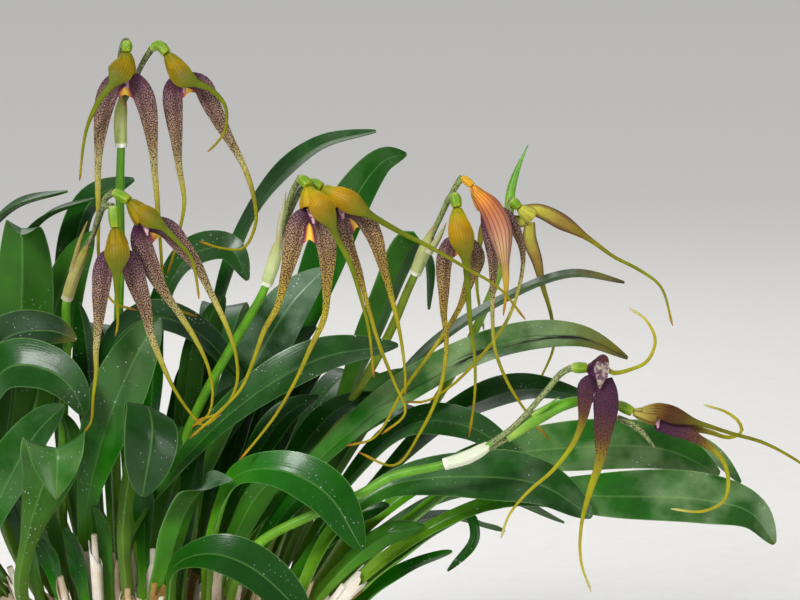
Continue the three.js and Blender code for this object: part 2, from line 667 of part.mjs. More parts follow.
bloom('b2', stalks.b2, {
    mouth: [-10, -40, 265],
    dorsal: {
        path: [[-14, -41, 270], [-9, -45, 267], [-3, -46, 263], [3, -46, 257], [8, -46, 251],
            [10, -46, 243], [11, -46, 235]],
        body: 18, width: 8, root: 3, face: FRONT,
    },
    left: {
        path: [[-11, -38, 263], [-12, -36, 256], [-8, -37, 246], [-4, -38, 238], [2, -38, 229],
            [9, -39, 218], [14, -43, 208], [16, -48, 197], [14, -50, 190], [8, -51, 186]],
        body: 36, width: 8.5, root: 3, face: FRONT,
    },
    right: {
        path: [[-9, -38, 263], [-2, -36, 261], [4, -36, 254], [10, -37, 246], [15, -38, 236],
            [21, -41, 224], [25, -44, 212], [25, -48, 201], [19, -52, 192], [10, -54, 189]],
        body: 36, width: 8, root: 3, face: FRONT,
    },
});
bloom('c1', stalks.c1, {
    mouth: [54, -44, 270],
    dorsal: {
        path: [[54, -45, 276], [57, -49, 272], [61, -50, 266], [64, -50, 259], [69, -50, 249],
            [73, -50, 236], [76, -50, 224], [78, -50, 205]],
        body: 20, width: 9.5, root: 3, face: FRONT,
    },
    left: {
        path: [[53, -42, 268], [49, -42, 264], [47, -43, 255], [44, -45, 243], [41, -47, 232],
            [36, -49, 223], [32, -51, 212], [27, -54, 201], [19, -57, 193], [8, -58, 183]],
        body: 36, width: 8, root: 3, face: FRONT,
    },
    right: {
        path: [[54, -42, 268], [58, -42, 263], [60, -43, 253], [60, -45, 241], [59, -47, 228],
            [54, -49, 217], [48, -51, 204], [41, -54, 192], [34, -57, 183], [27, -60, 175]],
        body: 36, width: 8.5, root: 3, face: FRONT,
    },
});
bloom('c2', stalks.c2, {
    mouth: [65, -38, 271],
    dorsal: {
        path: [[60, -40, 276], [67, -43, 273], [75, -44, 268], [87, -44, 261], [99, -45, 255],
            [113, -46, 247], [126, -46, 239], [136, -46, 227]],
        body: 22, width: 9, root: 3, face: FRONT,
    },
    left: {
        path: [[65, -36, 269], [66, -35, 263], [68, -35, 254], [72, -36, 244], [75, -37, 233],
            [80, -39, 216], [86, -41, 201], [90, -43, 190], [81, -45, 182]],
        body: 34, width: 6, root: 3, face: FRONT,
    },
    right: {
        path: [[66, -36, 269], [73, -35, 266], [78, -35, 258], [81, -35, 248], [84, -36, 237],
            [87, -37, 225], [89, -38, 214], [90, -39, 204], [90, -39, 196]],
        body: 38, width: 7.5, root: 3, face: FRONT,
    },
});
bloom('d1', stalks.d1, {
    mouth: [111, -34, 258.3],
    dorsal: {
        path: [[110, -36, 267], [111, -39, 261], [113, -39, 252], [114, -38, 241], [115, -38, 226],
            [117, -37, 210], [117, -36, 195], [115, -34, 179]],
        body: 22, width: 10, root: 3, face: FRONT,
    },
    left: {
        path: [[111, -32, 256], [107, -32, 254], [105, -31, 246], [105, -31, 236], [105, -32, 227],
            [106, -34, 217], [104, -37, 200], [96, -40, 182], [86, -41, 169], [72, -41, 174]],
        body: 36, width: 6.5, root: 3, face: FRONT,
    },
    right: {
        path: [[111, -32, 256], [115, -30, 254], [118, -27, 248], [115, -26, 239], [111, -25, 228],
            [105, -25, 218], [98, -26, 208], [89, -29, 196], [78, -36, 179], [67, -38, 176]],
        body: 34, width: 6.5, root: 3, face: FRONT,
    },
});
bloom('d2', stalks.d2, {
    mouth: [121, -32, 269],
    dorsal: {
        path: [[117, -33, 275], [122, -37, 270], [126, -38, 262], [128, -38, 250], [129, -37, 237],
            [128, -36, 227]],
        body: 36, width: 8, root: 3, face: FRONT,
    },
    left: {
        path: [[121, -30, 267], [122, -30, 261], [124, -31, 249], [124, -31, 235], [124, -31, 225],
            [125, -31, 213], [130, -32, 200], [137, -33, 189], [146, -35, 178]],
        body: 34, width: 5.5, root: 3, face: FRONT,
    },
    right: {
        path: [[122, -29, 267], [129, -26, 265], [134, -25, 257], [136, -24, 249], [135, -23, 238],
            [130, -22, 223], [120, -22, 209], [108, -23, 197], [98, -23, 191], [90, -24, 191]],
        body: 30, width: 5, root: 3, face: FRONT,
    },
}, ['orange', 'purple']);
bloom('e1', stalks.e1, {
    mouth: [142, 44, 257],
    dorsal: {
        path: [[139, 44, 260], [146, 45, 259], [156, 45, 254], [167, 44, 247], [177, 42, 240],
            [187, 40, 235], [196, 39, 228], [201, 38, 212]],
        body: 34, width: 7, root: 3, face: FRONT,
    },
    left: {
        path: [[141, 46, 255], [135, 49, 254], [127, 50, 256], [123, 49, 252], [121, 48, 243],
            [120, 46, 228], [123, 45, 209]],
        body: 30, width: 6, root: 3, face: FRONT,
    },
    right: {
        path: [[142, 46, 254], [142, 47, 247], [145, 46, 238], [147, 44, 229], [151, 42, 215],
            [152, 41, 203], [146, 40, 188]],
        body: 30, width: 6, root: 3, face: FRONT,
    },
});
bloom('f1', stalks.f1, {
    mouth: [166, -47, 207],
    dorsal: {
        path: [[162, -47, 210], [165, -50, 211], [169, -50, 207], [177, -48, 208], [183, -47, 211],
            [186, -46, 219], [182, -45, 227], [176, -44, 231]],
        body: 9, width: 7, root: 3, face: FRONT,
    },
    left: {
        path: [[165, -48, 204], [160, -49, 202], [159, -50, 196], [158, -50, 188], [155, -50, 180],
            [147, -50, 169], [137, -50, 160], [130, -50, 151], [127, -50, 142]],
        body: 24, width: 7, root: 3, face: FRONT,
    },
    right: {
        path: [[166, -48, 204], [167, -49, 200], [167, -50, 192], [166, -50, 183], [165, -50, 173],
            [161, -50, 160], [158, -50, 147], [158, -50, 133], [162, -50, 121]],
        body: 34, width: 10, root: 3.5, face: FRONT,
    },
}, ['darkPurple', 'darkPurple']);
bloom('f2', stalks.f2, {
    mouth: [187, -41, 188],
    dorsal: {
        path: [[182, -43, 191], [188, -44, 191], [195, -45, 189], [204, -44, 186], [216, -43, 182],
            [229, -42, 178], [242, -42, 171], [253, -42, 163]],
        body: 24, width: 7, root: 3, face: FRONT,
    },
    left: {
        path: [[187, -39, 186], [192, -37, 185], [201, -36, 183], [209, -36, 181], [216, -36, 179],
            [221, -36, 181], [220, -36, 185], [215, -36, 189], [206, -36, 192]],
        body: 22, width: 6, root: 3, face: FRONT,
    },
    right: {
        path: [[187, -40, 185], [193, -41, 184], [199, -43, 182], [206, -44, 178], [212, -45, 173],
            [215, -46, 164], [213, -47, 156], [205, -47, 152], [193, -47, 153]],
        body: 26, width: 6.5, root: 3, face: FRONT,
    },
});

// The clay pot: a turned wall with a rim band and a floor with drain holes around its centre.
const bandZ = POT_HEIGHT - RIM_BAND;
const bandRadius = POT_RIM_RADIUS - 2;
const innerFloorRadius = POT_BASE_RADIUS - WALL + 0.5;
const innerRimRadius = POT_RIM_RADIUS - WALL - 1.5;
const potProfile = [
    [0, 0], [POT_BASE_RADIUS - 1, 0], [POT_BASE_RADIUS, 1], [bandRadius - RIM_STEP, bandZ],
    [bandRadius, bandZ + 1], [POT_RIM_RADIUS, POT_HEIGHT - 1], [POT_RIM_RADIUS - 1, POT_HEIGHT],
    [innerRimRadius + 1, POT_HEIGHT], [innerRimRadius, POT_HEIGHT - 1.5], [innerFloorRadius, FLOOR + 0.5],
    [innerFloorRadius - 1, FLOOR], [0, FLOOR],
].map(([radius, z]) => new THREE.Vector2(radius, z));
const turned = new THREE.LatheGeometry(potProfile, POT_SIDES).rotateX(Math.PI / 2);
let pot = toSolid(turned);
for (let i = 0; i < DRAIN_HOLES; i++) {
    const turn = 2 * Math.PI * i / DRAIN_HOLES;
    const drain = new THREE.CylinderGeometry(DRAIN_RADIUS, DRAIN_RADIUS, 3 * FLOOR, 10).rotateX(Math.PI / 2);
    drain.translate(DRAIN_CIRCLE * Math.cos(turn), DRAIN_CIRCLE * Math.sin(turn), FLOOR / 2);
    pot = pot.subtract(toSolid(drain));
}
addMesh('clay_pot', toGeometry(pot), 'clay');

// The bark and moss: it fills the pot up to a rough top, with a plain hole for each foot.
const wallSlope = (innerRimRadius - innerFloorRadius) / (POT_HEIGHT - 1.5 - FLOOR - 0.5);
const soilBottom = FLOOR + GAP;
const roomRadius = (z) => innerFloorRadius + wallSlope * (z - FLOOR - 0.5) - 3 * GAP;
const soilRings = 6;
const soilSides = 26;
const broadWave = (x, y) => Math.sin(0.21 * x + 1.3) * Math.cos(0.19 * y);
const fineWave = (x, y) => Math.sin(0.47 * x - 0.39 * y);
const relief = (x, y) => SOIL_RELIEF * (broadWave(x, y) + 0.6 * fineWave(x, y));

function soilRing(radius, height) {
    const points = [];
    for (let j = 0; j < soilSides; j++) {
        const turn = 2 * Math.PI * j / soilSides;
        const [x, y] = [radius * Math.cos(turn), radius * Math.sin(turn)];
        points.push(new THREE.Vector3(x, y, height(x, y)));
    }
    return points;
}

const soilLevels = [
    soilRing(roomRadius(soilBottom) - 1, () => soilBottom),
    soilRing(roomRadius(SOIL_Z - 3), () => SOIL_Z - 3),
];
for (let i = 0; i < soilRings; i++) {
    const radius = (roomRadius(SOIL_Z) - 0.5) * (1 - i / soilRings);
    soilLevels.push(soilRing(radius, (x, y) => SOIL_Z + relief(x, y) - (i === 0 ? 1 : 0)));
}
const soilCentre = new THREE.Vector3(0, 0, SOIL_Z + relief(0, 0));
let soil = toSolid(loft(soilLevels, new THREE.Vector3(0, 0, soilBottom), soilCentre));
const holeRadius = (SHEATH_RADIUS + 1.5 * GAP) / Math.cos(Math.PI / 6);
const holeDepth = FOOT_DEPTH + GAP;
for (const [x, y] of feet) {
    const hole = new THREE.CylinderGeometry(holeRadius, holeRadius, 2 * holeDepth, 6).rotateX(Math.PI / 2);
    hole.translate(x, y, SOIL_Z);
    soil = soil.subtract(toSolid(hole));
}
addMesh('bark_and_moss', toGeometry(mainBody(soil)), 'bark');

export default plant;
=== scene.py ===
# Looks of a potted Masdevallia cinnamomea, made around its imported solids. Metres, +Z up. The front
# faces -Y. Sizes and places are written in millimetres and turned to metres where a mesh is made.

import math
import random
from functools import partial

import bmesh
import bpy
import numpy as np
from mathutils import Euler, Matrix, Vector, noise


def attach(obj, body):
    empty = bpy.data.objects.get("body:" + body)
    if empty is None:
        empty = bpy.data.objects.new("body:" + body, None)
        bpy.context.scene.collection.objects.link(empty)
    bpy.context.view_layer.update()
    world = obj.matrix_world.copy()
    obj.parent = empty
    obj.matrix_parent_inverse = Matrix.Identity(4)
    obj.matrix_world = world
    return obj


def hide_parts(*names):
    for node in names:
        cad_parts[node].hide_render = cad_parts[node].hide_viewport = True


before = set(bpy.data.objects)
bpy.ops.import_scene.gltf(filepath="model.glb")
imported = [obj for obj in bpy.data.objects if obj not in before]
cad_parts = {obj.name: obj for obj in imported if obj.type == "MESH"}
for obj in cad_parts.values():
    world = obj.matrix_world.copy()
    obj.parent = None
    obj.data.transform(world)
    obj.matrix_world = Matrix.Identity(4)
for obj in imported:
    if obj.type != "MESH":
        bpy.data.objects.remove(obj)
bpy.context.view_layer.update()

# Camera, floor and light
# The photograph looks at the plant almost level, from a little above, and cuts the pot off. The floor
# is plain and pale. Three soft panels light the plant from the front left, the right and behind, and a
# wide one overhead lights the floor.
CAMERA_TARGET = Vector((0.088, 0, 0.228))
CAMERA_DISTANCE = 1.1
CAMERA_ELEVATION = math.radians(8)
CAMERA_LENS = 123.75
AIR_BRIGHTNESS = 0.1
FLOOR_SIZE = 60
LIGHT_PANELS = {
    "key_panel": ((-0.8, -1.5, 1.3), 0.4, 32),
    "fill_panel": ((1.25, -1.4, 0.32), 0.6, 9),
    "back_panel": ((-0.3, 1.4, 1.3), 0.9, 6),
    "ceiling_panel": ((0.088, 0, 8), 60, 5600),
}


def colour(hex_text):
    """An sRGB hex value as the linear colour that a node takes."""
    shares = [int(hex_text[i:i + 2], 16) / 255 for i in (1, 3, 5)]
    return (*(c / 12.92 if c <= 0.04045 else ((c + 0.055) / 1.055) ** 2.4 for c in shares), 1)


# Which output of a node is used, where it isn't the first one.
USED_OUTPUT = {"Attribute": 2, "Mix": 2, "TexCoord": 3, "TexWave": 1}


def add_node(tree, kind, inputs=None, stops=None, to=None, output=None, **settings):
    """Adds a node with its settings, the values, colours or links of its inputs, and a ramp's stops.
    Its used output goes to the shader's socket that is named, and is given back, or all outputs are
    where a vector is taken apart."""
    node = tree.nodes.new("ShaderNode" + kind)
    if kind == "Mix":
        node.data_type = "RGBA"
    for name, value in settings.items():
        setattr(node, name, value)
    for socket, value in (inputs or {}).items():
        if isinstance(value, bpy.types.NodeSocket):
            tree.links.new(value, node.inputs[socket])
        else:
            node.inputs[socket].default_value = colour(value) if isinstance(value, str) else value
    if stops:
        elements = node.color_ramp.elements
        elements.remove(elements[1])
        elements[0].position = stops[0][0]
        for place, _ in stops[1:]:
            elements.new(place)
        for element, (_, shade) in zip(elements, stops):
            element.color = colour(shade) if isinstance(shade, str) else (shade, shade, shade, 1)
    used = node.outputs[USED_OUTPUT.get(kind, 0) if output is None else output]
    if to:
        tree.links.new(used, tree.nodes["Principled BSDF"].inputs[to])
    return node.outputs if kind == "SeparateXYZ" else used


def new_material(name, **constants):
    """A material, with what is the same all over on its shader's sockets, and the call that adds a
    node to it."""
    made = bpy.data.materials.new(name)
    made.use_nodes = True
    shader = made.node_tree.nodes["Principled BSDF"]
    for socket, value in constants.items():
        shader.inputs[socket.replace("_", " ")].default_value = value
    return made, partial(add_node, made.node_tree)


camera = bpy.data.objects.new("camera", bpy.data.cameras.new("camera"))
bpy.context.scene.collection.objects.link(camera)
camera.data.lens = CAMERA_LENS
camera.data.sensor_width = 36
camera.data.clip_end = 100
camera.location = CAMERA_TARGET + CAMERA_DISTANCE * Vector(
    (0, -math.cos(CAMERA_ELEVATION), math.sin(CAMERA_ELEVATION)))
camera.rotation_euler = (math.pi / 2 - CAMERA_ELEVATION, 0, 0)
bpy.context.scene.camera = camera

for name, (place, size, power) in LIGHT_PANELS.items():
    panel = bpy.data.objects.new(name, bpy.data.lights.new(name, "AREA"))
    panel.data.size = size
    panel.data.energy = power
    panel.location = place
    panel.rotation_euler = (CAMERA_TARGET - Vector(place)).to_track_quat("-Z", "Y").to_euler()
    bpy.context.scene.collection.objects.link(panel)

world = bpy.data.worlds.new("studio_air")
world.use_nodes = True
world.node_tree.nodes["Background"].inputs["Color"].default_value = colour("#e6e8ea")
world.node_tree.nodes["Background"].inputs["Strength"].default_value = AIR_BRIGHTNESS
bpy.context.scene.world = world
bpy.context.scene.view_settings.view_transform = "Standard"

bpy.ops.object.select_all(action="DESELECT")
bpy.ops.mesh.primitive_plane_add(size=FLOOR_SIZE, location=(0, 0, 0))
floor = bpy.context.object
floor.name = "floor"
# Painted board: an even, matte pale grey.
board, add = new_material("painted_board", Roughness=0.9)
coords = add("TexCoord")
grain = add("TexNoise", {"Vector": coords, "Scale": 90})
add("ValToRGB", {"Fac": grain}, [(0.3, "#f3f1ed"), (0.7, "#f5f4f1")], to="Base Color")
floor.data.materials.append(board)

# The clay pot
# A thrown and fired earthenware pot with a rim band and four drain holes. It is turned from one wall,
# and its rim edges are rounded by wear.
POT_STEPS = (
    (50, 1), (51.2, 7), (53.4, 21), (55.6, 35), (57.8, 49), (60, 63), (61.6, 72.2), (63.5, 73),
    (66.6, 73.4), (67.5, 74.6), (68.3, 82), (69.4, 90.4), (69, 91.6), (68, 92), (65, 92),
    (63.6, 91.5), (63, 90), (59, 64), (52, 35), (46.5, 9), (45, 6.6), (43.6, 6),
)
POT_SIDES = 96
POT_FOOT_RADIUS = 49
DRAIN_RADIUS = 4.5
DRAIN_CIRCLE = 24
DRILL_SIDES = 32
DRILL_DEPTH = 30
DRILL_Z = 3
POT_SMOOTH_ANGLE = math.radians(40)
MM = 0.001

bpy.ops.object.select_all(action="DESELECT")
bpy.ops.mesh.primitive_circle_add(vertices=POT_SIDES, radius=POT_FOOT_RADIUS * MM, fill_type="NGON")
pot = bpy.context.object
pot.name = "clay_pot_turned"
bpy.ops.object.mode_set(mode="EDIT")
radius_now, height_now = POT_FOOT_RADIUS, 0
for radius, height in POT_STEPS:
    bpy.ops.mesh.extrude_region_move(
        TRANSFORM_OT_translate={"value": (0, 0, (height - height_now) * MM)})
    grown = radius / radius_now
    bpy.ops.transform.resize(value=(grown, grown, 1), center_override=(0, 0, height * MM))
    radius_now, height_now = radius, height
bpy.ops.mesh.select_all(action="SELECT")
bpy.ops.mesh.normals_make_consistent(inside=False)
bpy.ops.object.mode_set(mode="OBJECT")
for quarter in range(4):
    turn = quarter * math.pi / 2
    bpy.ops.object.select_all(action="DESELECT")
    bpy.ops.mesh.primitive_cylinder_add(
        vertices=DRILL_SIDES, radius=DRAIN_RADIUS * MM, depth=DRILL_DEPTH * MM,
        location=(DRAIN_CIRCLE * MM * math.cos(turn), DRAIN_CIRCLE * MM * math.sin(turn), DRILL_Z * MM))
    drill = bpy.context.object
    bpy.context.view_layer.objects.active = pot
    cut = pot.modifiers.new("drain", "BOOLEAN")
    cut.object = drill
    cut.operation = "DIFFERENCE"
    bpy.ops.object.modifier_apply(modifier=cut.name)
    bpy.data.objects.remove(drill)
bpy.ops.object.select_all(action="DESELECT")
pot.select_set(True)
bpy.context.view_layer.objects.active = pot
bpy.ops.object.shade_smooth_by_angle(angle=POT_SMOOTH_ANGLE)

# Fired earthenware: matte orange clay with fine throwing rings, paler lime bloom and damp stains low.
clay, add = new_material("fired_earthenware", Roughness=0.85)
coords = add("TexCoord")
place = add("SeparateXYZ", {"Vector": coords})
body = add("TexNoise", {"Vector": coords, "Scale": 38, "Detail": 6})
body_shade = add("ValToRGB", {"Fac": body}, [(0.3, "#a3572f"), (0.5, "#b4663b"), (0.7, "#c27a4d")])
lime = add("TexNoise", {"Vector": coords, "Scale": 17, "Detail": 8, "Roughness": 0.7})
lime_share = add("MapRange", {"Value": lime, 1: 0.52, 2: 0.75, 4: 0.6})
limed = add("Mix", {0: lime_share, 6: body_shade, 7: "#d9c3ae"})
damp = add("MapRange", {"Value": place["Z"], 1: 0.035, 2: 0.0, 4: 0.45})
add("Mix", {0: damp, 6: limed, 7: "#6d3b22"}, to="Base Color")
rings = add("TexWave", {"Vector": coords, "Scale": 60, "Distortion": 1.2, "Detail": 2}, bands_direction="Z")
ring_bump = add("Bump", {"Height": rings, "Strength": 0.15, "Distance": 0.0006})
grit = add("TexNoise", {"Vector": coords, "Scale": 900, "Detail": 3})
add("Bump", {"Height": grit, "Strength": 0.3, "Distance": 0.0004, "Normal": ring_bump}, to="Normal")
pot.data.materials.append(clay)
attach(pot, "root")
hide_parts("clay_pot")

# The leafy stems
# Each short stem carries one leathery leaf on a channelled stalk. Every leaf is one closed blade with a
# grooved midrib above and a keel below. Paths, widths and faces are those of the solids, in millimetres.
SOIL_Z = 84
FOOT_Z = 78
UPRIGHT = 3
BRANCH = 6
STALK_HALF = 2.2
STALK_FLARE = 0.9
STALK_THICK = 2.6
STALK_CHANNEL = 0.8
STALK_EDGE = 1.4
BLADE_THICK = 1.5
BLADE_EDGE = 0.7
WIDEST_AT = 0.6
STALK_SHARE = 0.42
GROOVE_DEEP, GROOVE_WIDE = 0.28, 0.55
KEEL_WIDE = 1.25
EDGE_WAVE = 0.55
TIP_CROWDING = 1.35
SHEATH_LEAN = 2.5
SMOOTH_ANGLE = math.radians(50)
LEAFY_STEMS = {
    # Leafy stems of the left side, from the front to the back
    "front_left_folded": ((-38, -38), [{
        "path": ((-58, -50, 116), (-54, -57, 146), (-47, -61, 168), (-43, -65, 180), (-41, -73, 181),
            (-41, -78, 163)),
        # The folded tip is painted bright where it faces the light.
        "width": 24, "face": (0.15, 1, 0.1), "face_tip": (0, -1, 0.3), "stalk": 0.5, "painted_tip_shade": 1,
        "channel": 0.42, "blunt": 1.0,
    }]),
    "left_diagonal": ((-45, -28), [{
        "path": ((-74, -36, 112), (-76, -42, 135), (-63, -46, 165), (-52, -47, 183), (-41, -47, 194)),
        "width": 22, "face": (-0.4, -0.75, 0.5),
    }]),
    "left_hooked": ((-50, -18), [{
        "path": ((-78, -26, 129), (-79, -30, 177), (-65, -34, 206), (-49, -37, 206), (-39, -40, 199),
            (-34, -41, 188)),
        "width": 21, "face": (-0.1, -0.65, 0.75), "face_at": 0.75,
    }]),
    "left_brown_tip": ((-53, -6), [{
        "path": ((-83, -16, 142), (-82, -17, 191), (-68, -18, 215), (-50, -22, 219), (-38, -27, 216)),
        "width": 20, "face": (-0.2, -0.6, 0.75), "face_at": 0.75,
    }]),
    "left_upright": ((-50, 8), [{
        "path": ((-73, 6, 137), (-67, 4, 187), (-63, 2, 232), (-62, -4, 257), (-61, -16, 256)),
        "width": 24, "face": (0.1, 1, 0), "channel": 0.3,
    }, {
        "path": ((-84, -1, 123), (-80, -3, 169), (-74, -4, 195), (-66, -6, 206)),
        "width": 18, "face": (0.2, 1, 0.1),
    }]),
    "far_left_arched": ((-48, 22), [{
        "path": ((-92, 24, 175), (-86, 22, 241), (-69, 16, 263), (-45, 12, 271)),
        "width": 18, "face": (0, -0.15, 1), "face_at": 0.8,
    }, {
        "path": ((-78, 38, 164), (-76, 40, 227), (-60, 36, 256), (-37, 32, 266)),
        "width": 13, "face": (0, -0.1, 1), "face_at": 0.8,
    }]),
    "left_back": ((-38, 35), [{
        "path": ((-54, 44, 162), (-50, 46, 222), (-41, 44, 262), (-21, 40, 273)),
        "width": 18, "face": (-0.4, -0.5, 0.7),
    }, {
        "path": ((-62, 33, 161), (-56, 30, 207), (-47, 26, 237), (-37, 24, 253)),
        "width": 20, "face": (0.4, 0.9, 0),
    }]),
    "front_glossy": ((-36, -18), [{
        "path": ((-36, -22, 112), (-36, -25, 146), (-30, -27, 173), (-23, -27, 193), (-13, -25, 214),
            (-6, -23, 225)),
        "width": 22, "face": (-0.08, -0.9, 0.32),
    }]),
    "front_rounded": ((-18, -38), [{
        "path": ((-18, -44, 116), (-19, -48, 145), (-14, -50, 177), (-9, -54, 195), (-6, -62, 188),
            (-10, -64, 161)),
        "width": 21, "face": (0, 1, 0.05), "face_tip": (0.15, -1, 0.2), "stalk": 0.6, "channel": -0.15,
    }]),
    "dark_arch": ((-24, 2), [{
        "path": ((-32, 0, 121), (-34, 0, 171), (-27, 1, 210), (-12, 1, 221), (7, 0, 215), (26, -1, 194)),
        "width": 16, "face": (0, -0.55, 0.8), "face_at": 0.75,
    }]),

    # Leafy stems of the middle
    "big_diagonal": ((-28, -8), [{
        "path": ((-25, -14, 108), (-18, -20, 139), (-5, -25, 159), (25, -28, 190), (57, -28, 209),
            (88, -26, 214)),
        "width": 19, "face": (-0.35, -0.65, 0.65),
    }]),
    "front_grey_tip": ((-4, -36), [{
        "path": ((-7, -42, 116), (-2, -47, 134), (6, -53, 156), (15, -58, 166), (25, -64, 168)),
        "width": 14, "face": (-0.6, 0.7, 0.4), "face_at": 0.78, "face_tip": (0.3, -0.8, 0.5), "stalk": 0.3,
        # The tip is painted darker, which turns its painted sheen grey.
        "blunt": 1.0, "painted_tip_shade": 0.1,
    }]),
    "front_bright": ((12, -34), [{
        "path": ((12, -42, 116), (15, -47, 143), (25, -53, 167), (42, -60, 171), (60, -65, 163),
            (74, -67, 141)),
        "width": 18, "face": (0.1, -0.8, 0.6), "stalk": 0.5,
    }]),
    "front_low": ((2, -50), [{
        "path": ((-1, -57, 119), (2, -61, 134), (16, -67, 140), (31, -71, 136), (46, -75, 124),
            (54, -77, 114)),
        "width": 19, "face": (0.1, -0.7, 0.7), "stalk": 0.36,
    }]),
    "sheened": ((-4, 12), [{
        "path": ((-5, 10, 105), (7, 8, 155), (24, 6, 191), (43, 5, 224), (58, 8, 240)),
        "width": 23, "face": (-0.4, -0.9, 0.1),
    }]),
    "recurved_middle": ((-20, 20), [{
        "path": ((-26, 24, 100), (-19, 26, 167), (-10, 24, 221), (2, 20, 243), (19, 14, 247), (27, 10, 234)),
        "width": 17, "face": (0, -0.5, 0.85), "face_at": 0.8,
    }]),
    "tall": ((-14, 36), [{
        "path": ((-5, 42, 95), (3, 46, 163), (13, 46, 222), (31, 45, 264), (54, 42, 286), (79, 38, 293)),
        "width": 16, "face": (-0.5, -0.3, 0.8),
    }]),
    "broad_top": ((8, 32), [{
        "path": ((15, 34, 96), (31, 35, 164), (51, 34, 223), (68, 32, 263), (81, 28, 281), (91, 20, 285)),
        "width": 20, "face": (-0.4, -0.85, 0.3),
    }]),
    "hooked_top": ((32, 28), [{
        "path": ((40, 30, 97), (59, 32, 165), (80, 30, 220), (94, 26, 249), (99, 20, 242), (100, 16, 221)),
        "width": 15, "face": (-0.5, 0.8, 0.3),
    }]),

    # Leafy stems of the right side, from the front to the back
    "right_low_broad": ((40, -26), [{
        "path": ((48, -27, 113), (62, -28, 141), (84, -28, 158), (118, -29, 162), (143, -30, 159),
            (164, -31, 146)),
        "width": 22, "face": (0, -0.8, 0.6),
    }]),
    "right_lowest": ((50, -14), [{
        "path": ((64, -15, 109), (96, -16, 136), (132, -17, 151), (171, -19, 152), (208, -21, 151),
            (227, -22, 146),
            (237, -23, 133)),
        "width": 22, "face": (0.1, -0.85, 0.5), "stalk": 0.46,
    }]),
    "right_long": ((38, -2), [{
        "path": ((52, -1, 106), (76, 0, 137), (112, 0, 161), (152, -2, 168), (194, -4, 168), (217, -6, 158)),
        "width": 22, "face": (0, -0.85, 0.5),
    }, {
        "path": ((60, 4, 106), (90, 12, 134), (130, 18, 160), (178, 20, 169), (212, 18, 164),
            (228, 14, 150)),
        "width": 17, "face": (0, -0.4, 0.9),
    }]),
    "spotted": ((22, -12), [{
        "path": ((13, -13, 108), (24, -14, 132), (45, -12, 155), (84, -9, 189), (127, -7, 211),
            (159, -6, 214),
            (180, -6, 205)),
        "width": 17, "face": (-0.1, -0.6, 0.78), "stalk": 0.28,
    }]),
    "right_thin": ((20, 16), [{
        "path": ((31, 18, 100), (59, 19, 150), (93, 19, 199), (129, 18, 225), (157, 17, 236),
            (180, 16, 233)),
        "width": 15, "face": (0, -0.05, 1),
    }]),
    "right_inner": ((28, 4), [{
        "path": ((39, 4, 104), (64, 3, 150), (92, -3, 178), (116, -9, 178), (139, -15, 163)),
        "width": 15, "face": (0, -0.55, 0.83),
    }, {
        "path": ((46, 12, 104), (76, 17, 147), (108, 18, 177), (137, 16, 189), (166, 14, 186)),
        "width": 17, "face": (0, -0.45, 0.9),
    }]),
    "young_shoots": ((52, 2), [{
        "path": ((72, -7, 106), (82, -9, 115), (93, -11, 122), (109, -15, 129)),
        "width": 7, "face": (-0.2, -0.5, 0.8),
    }, {
        "path": ((66, 4, 104), (88, 6, 122), (106, 5, 135), (116, 3, 139), (118, 1, 130), (107, -2, 117)),
        "width": 5, "face": (-0.2, -0.5, 0.8),
    }]),
}
# The back tufts: each leaf's turn about its foot, reach, height, droop of the tip and width.
BACK_TUFTS = {
    "back_left": ((-24, 46), ((104, 95, 118, 22, 20), (122, 110, 96, 18, 18), (142, 96, 66, 14, 17))),
    "back": ((2, 51), ((62, 98, 108, 20, 20), (84, 112, 124, 30, 20))),
    "back_right": ((27, 44), ((30, 112, 84, 16, 18), (52, 100, 98, 24, 20), (76, 86, 70, 16, 17))),
    "right_back": ((50, 17), ((8, 108, 60, 14, 17), (30, 96, 45, 10, 16))),
}
# Shade from dark (0) to bright (1), how much of the tip has turned brown, and how much greyish
# painted sheen lies on the blade, of the leaves that differ.
LEAF_LOOKS = {
    "front_left_folded": (0.05, 0, 0.25), "left_brown_tip": (0.1, 0.22, 0.1), "front_glossy": (0.85, 0, 0.2),
    "front_rounded": (0.0, 0, 0.1), "dark_arch": (0.1, 0, 0.1), "front_grey_tip": (0.75, 0, 0.9),
    "front_bright": (0.85, 0, 0), "front_low": (0.15, 0, 0.02), "sheened": (0.2, 0, 0.7),
    "spotted": (0.95, 0.34, 0.8), "right_thin": (0.2, 0.35, 0.6), "right_lowest": (0.6, 0.05, 0.65),
    "right_long": (1.0, 0, 0.6), "tall": (0.5, 0, 0.2), "broad_top": (0.7, 0, 0.12),
    "young_shoots": (1.0, 0, 0), "left_upright": (0.3, 0, 0.3), "left_diagonal": (0.7, 0, 0.2),
    "left_hooked": (0.25, 0, 0.12), "big_diagonal": (0.3, 0, 0.12), "right_low_broad": (0.4, 0, 0.3),
}
# How far the sheath reaches up the stalk in millimetres, and its age from white (0) to tan (1).
SHEATHS = {
    "front_glossy": (56, 0.05), "left_diagonal": (50, 0.9), "left_hooked": (44, 0.2),
    "left_brown_tip": (42, 0.5), "front_rounded": (40, 0.1), "front_grey_tip": (46, 1),
    "right_lowest": (48, 0),
}


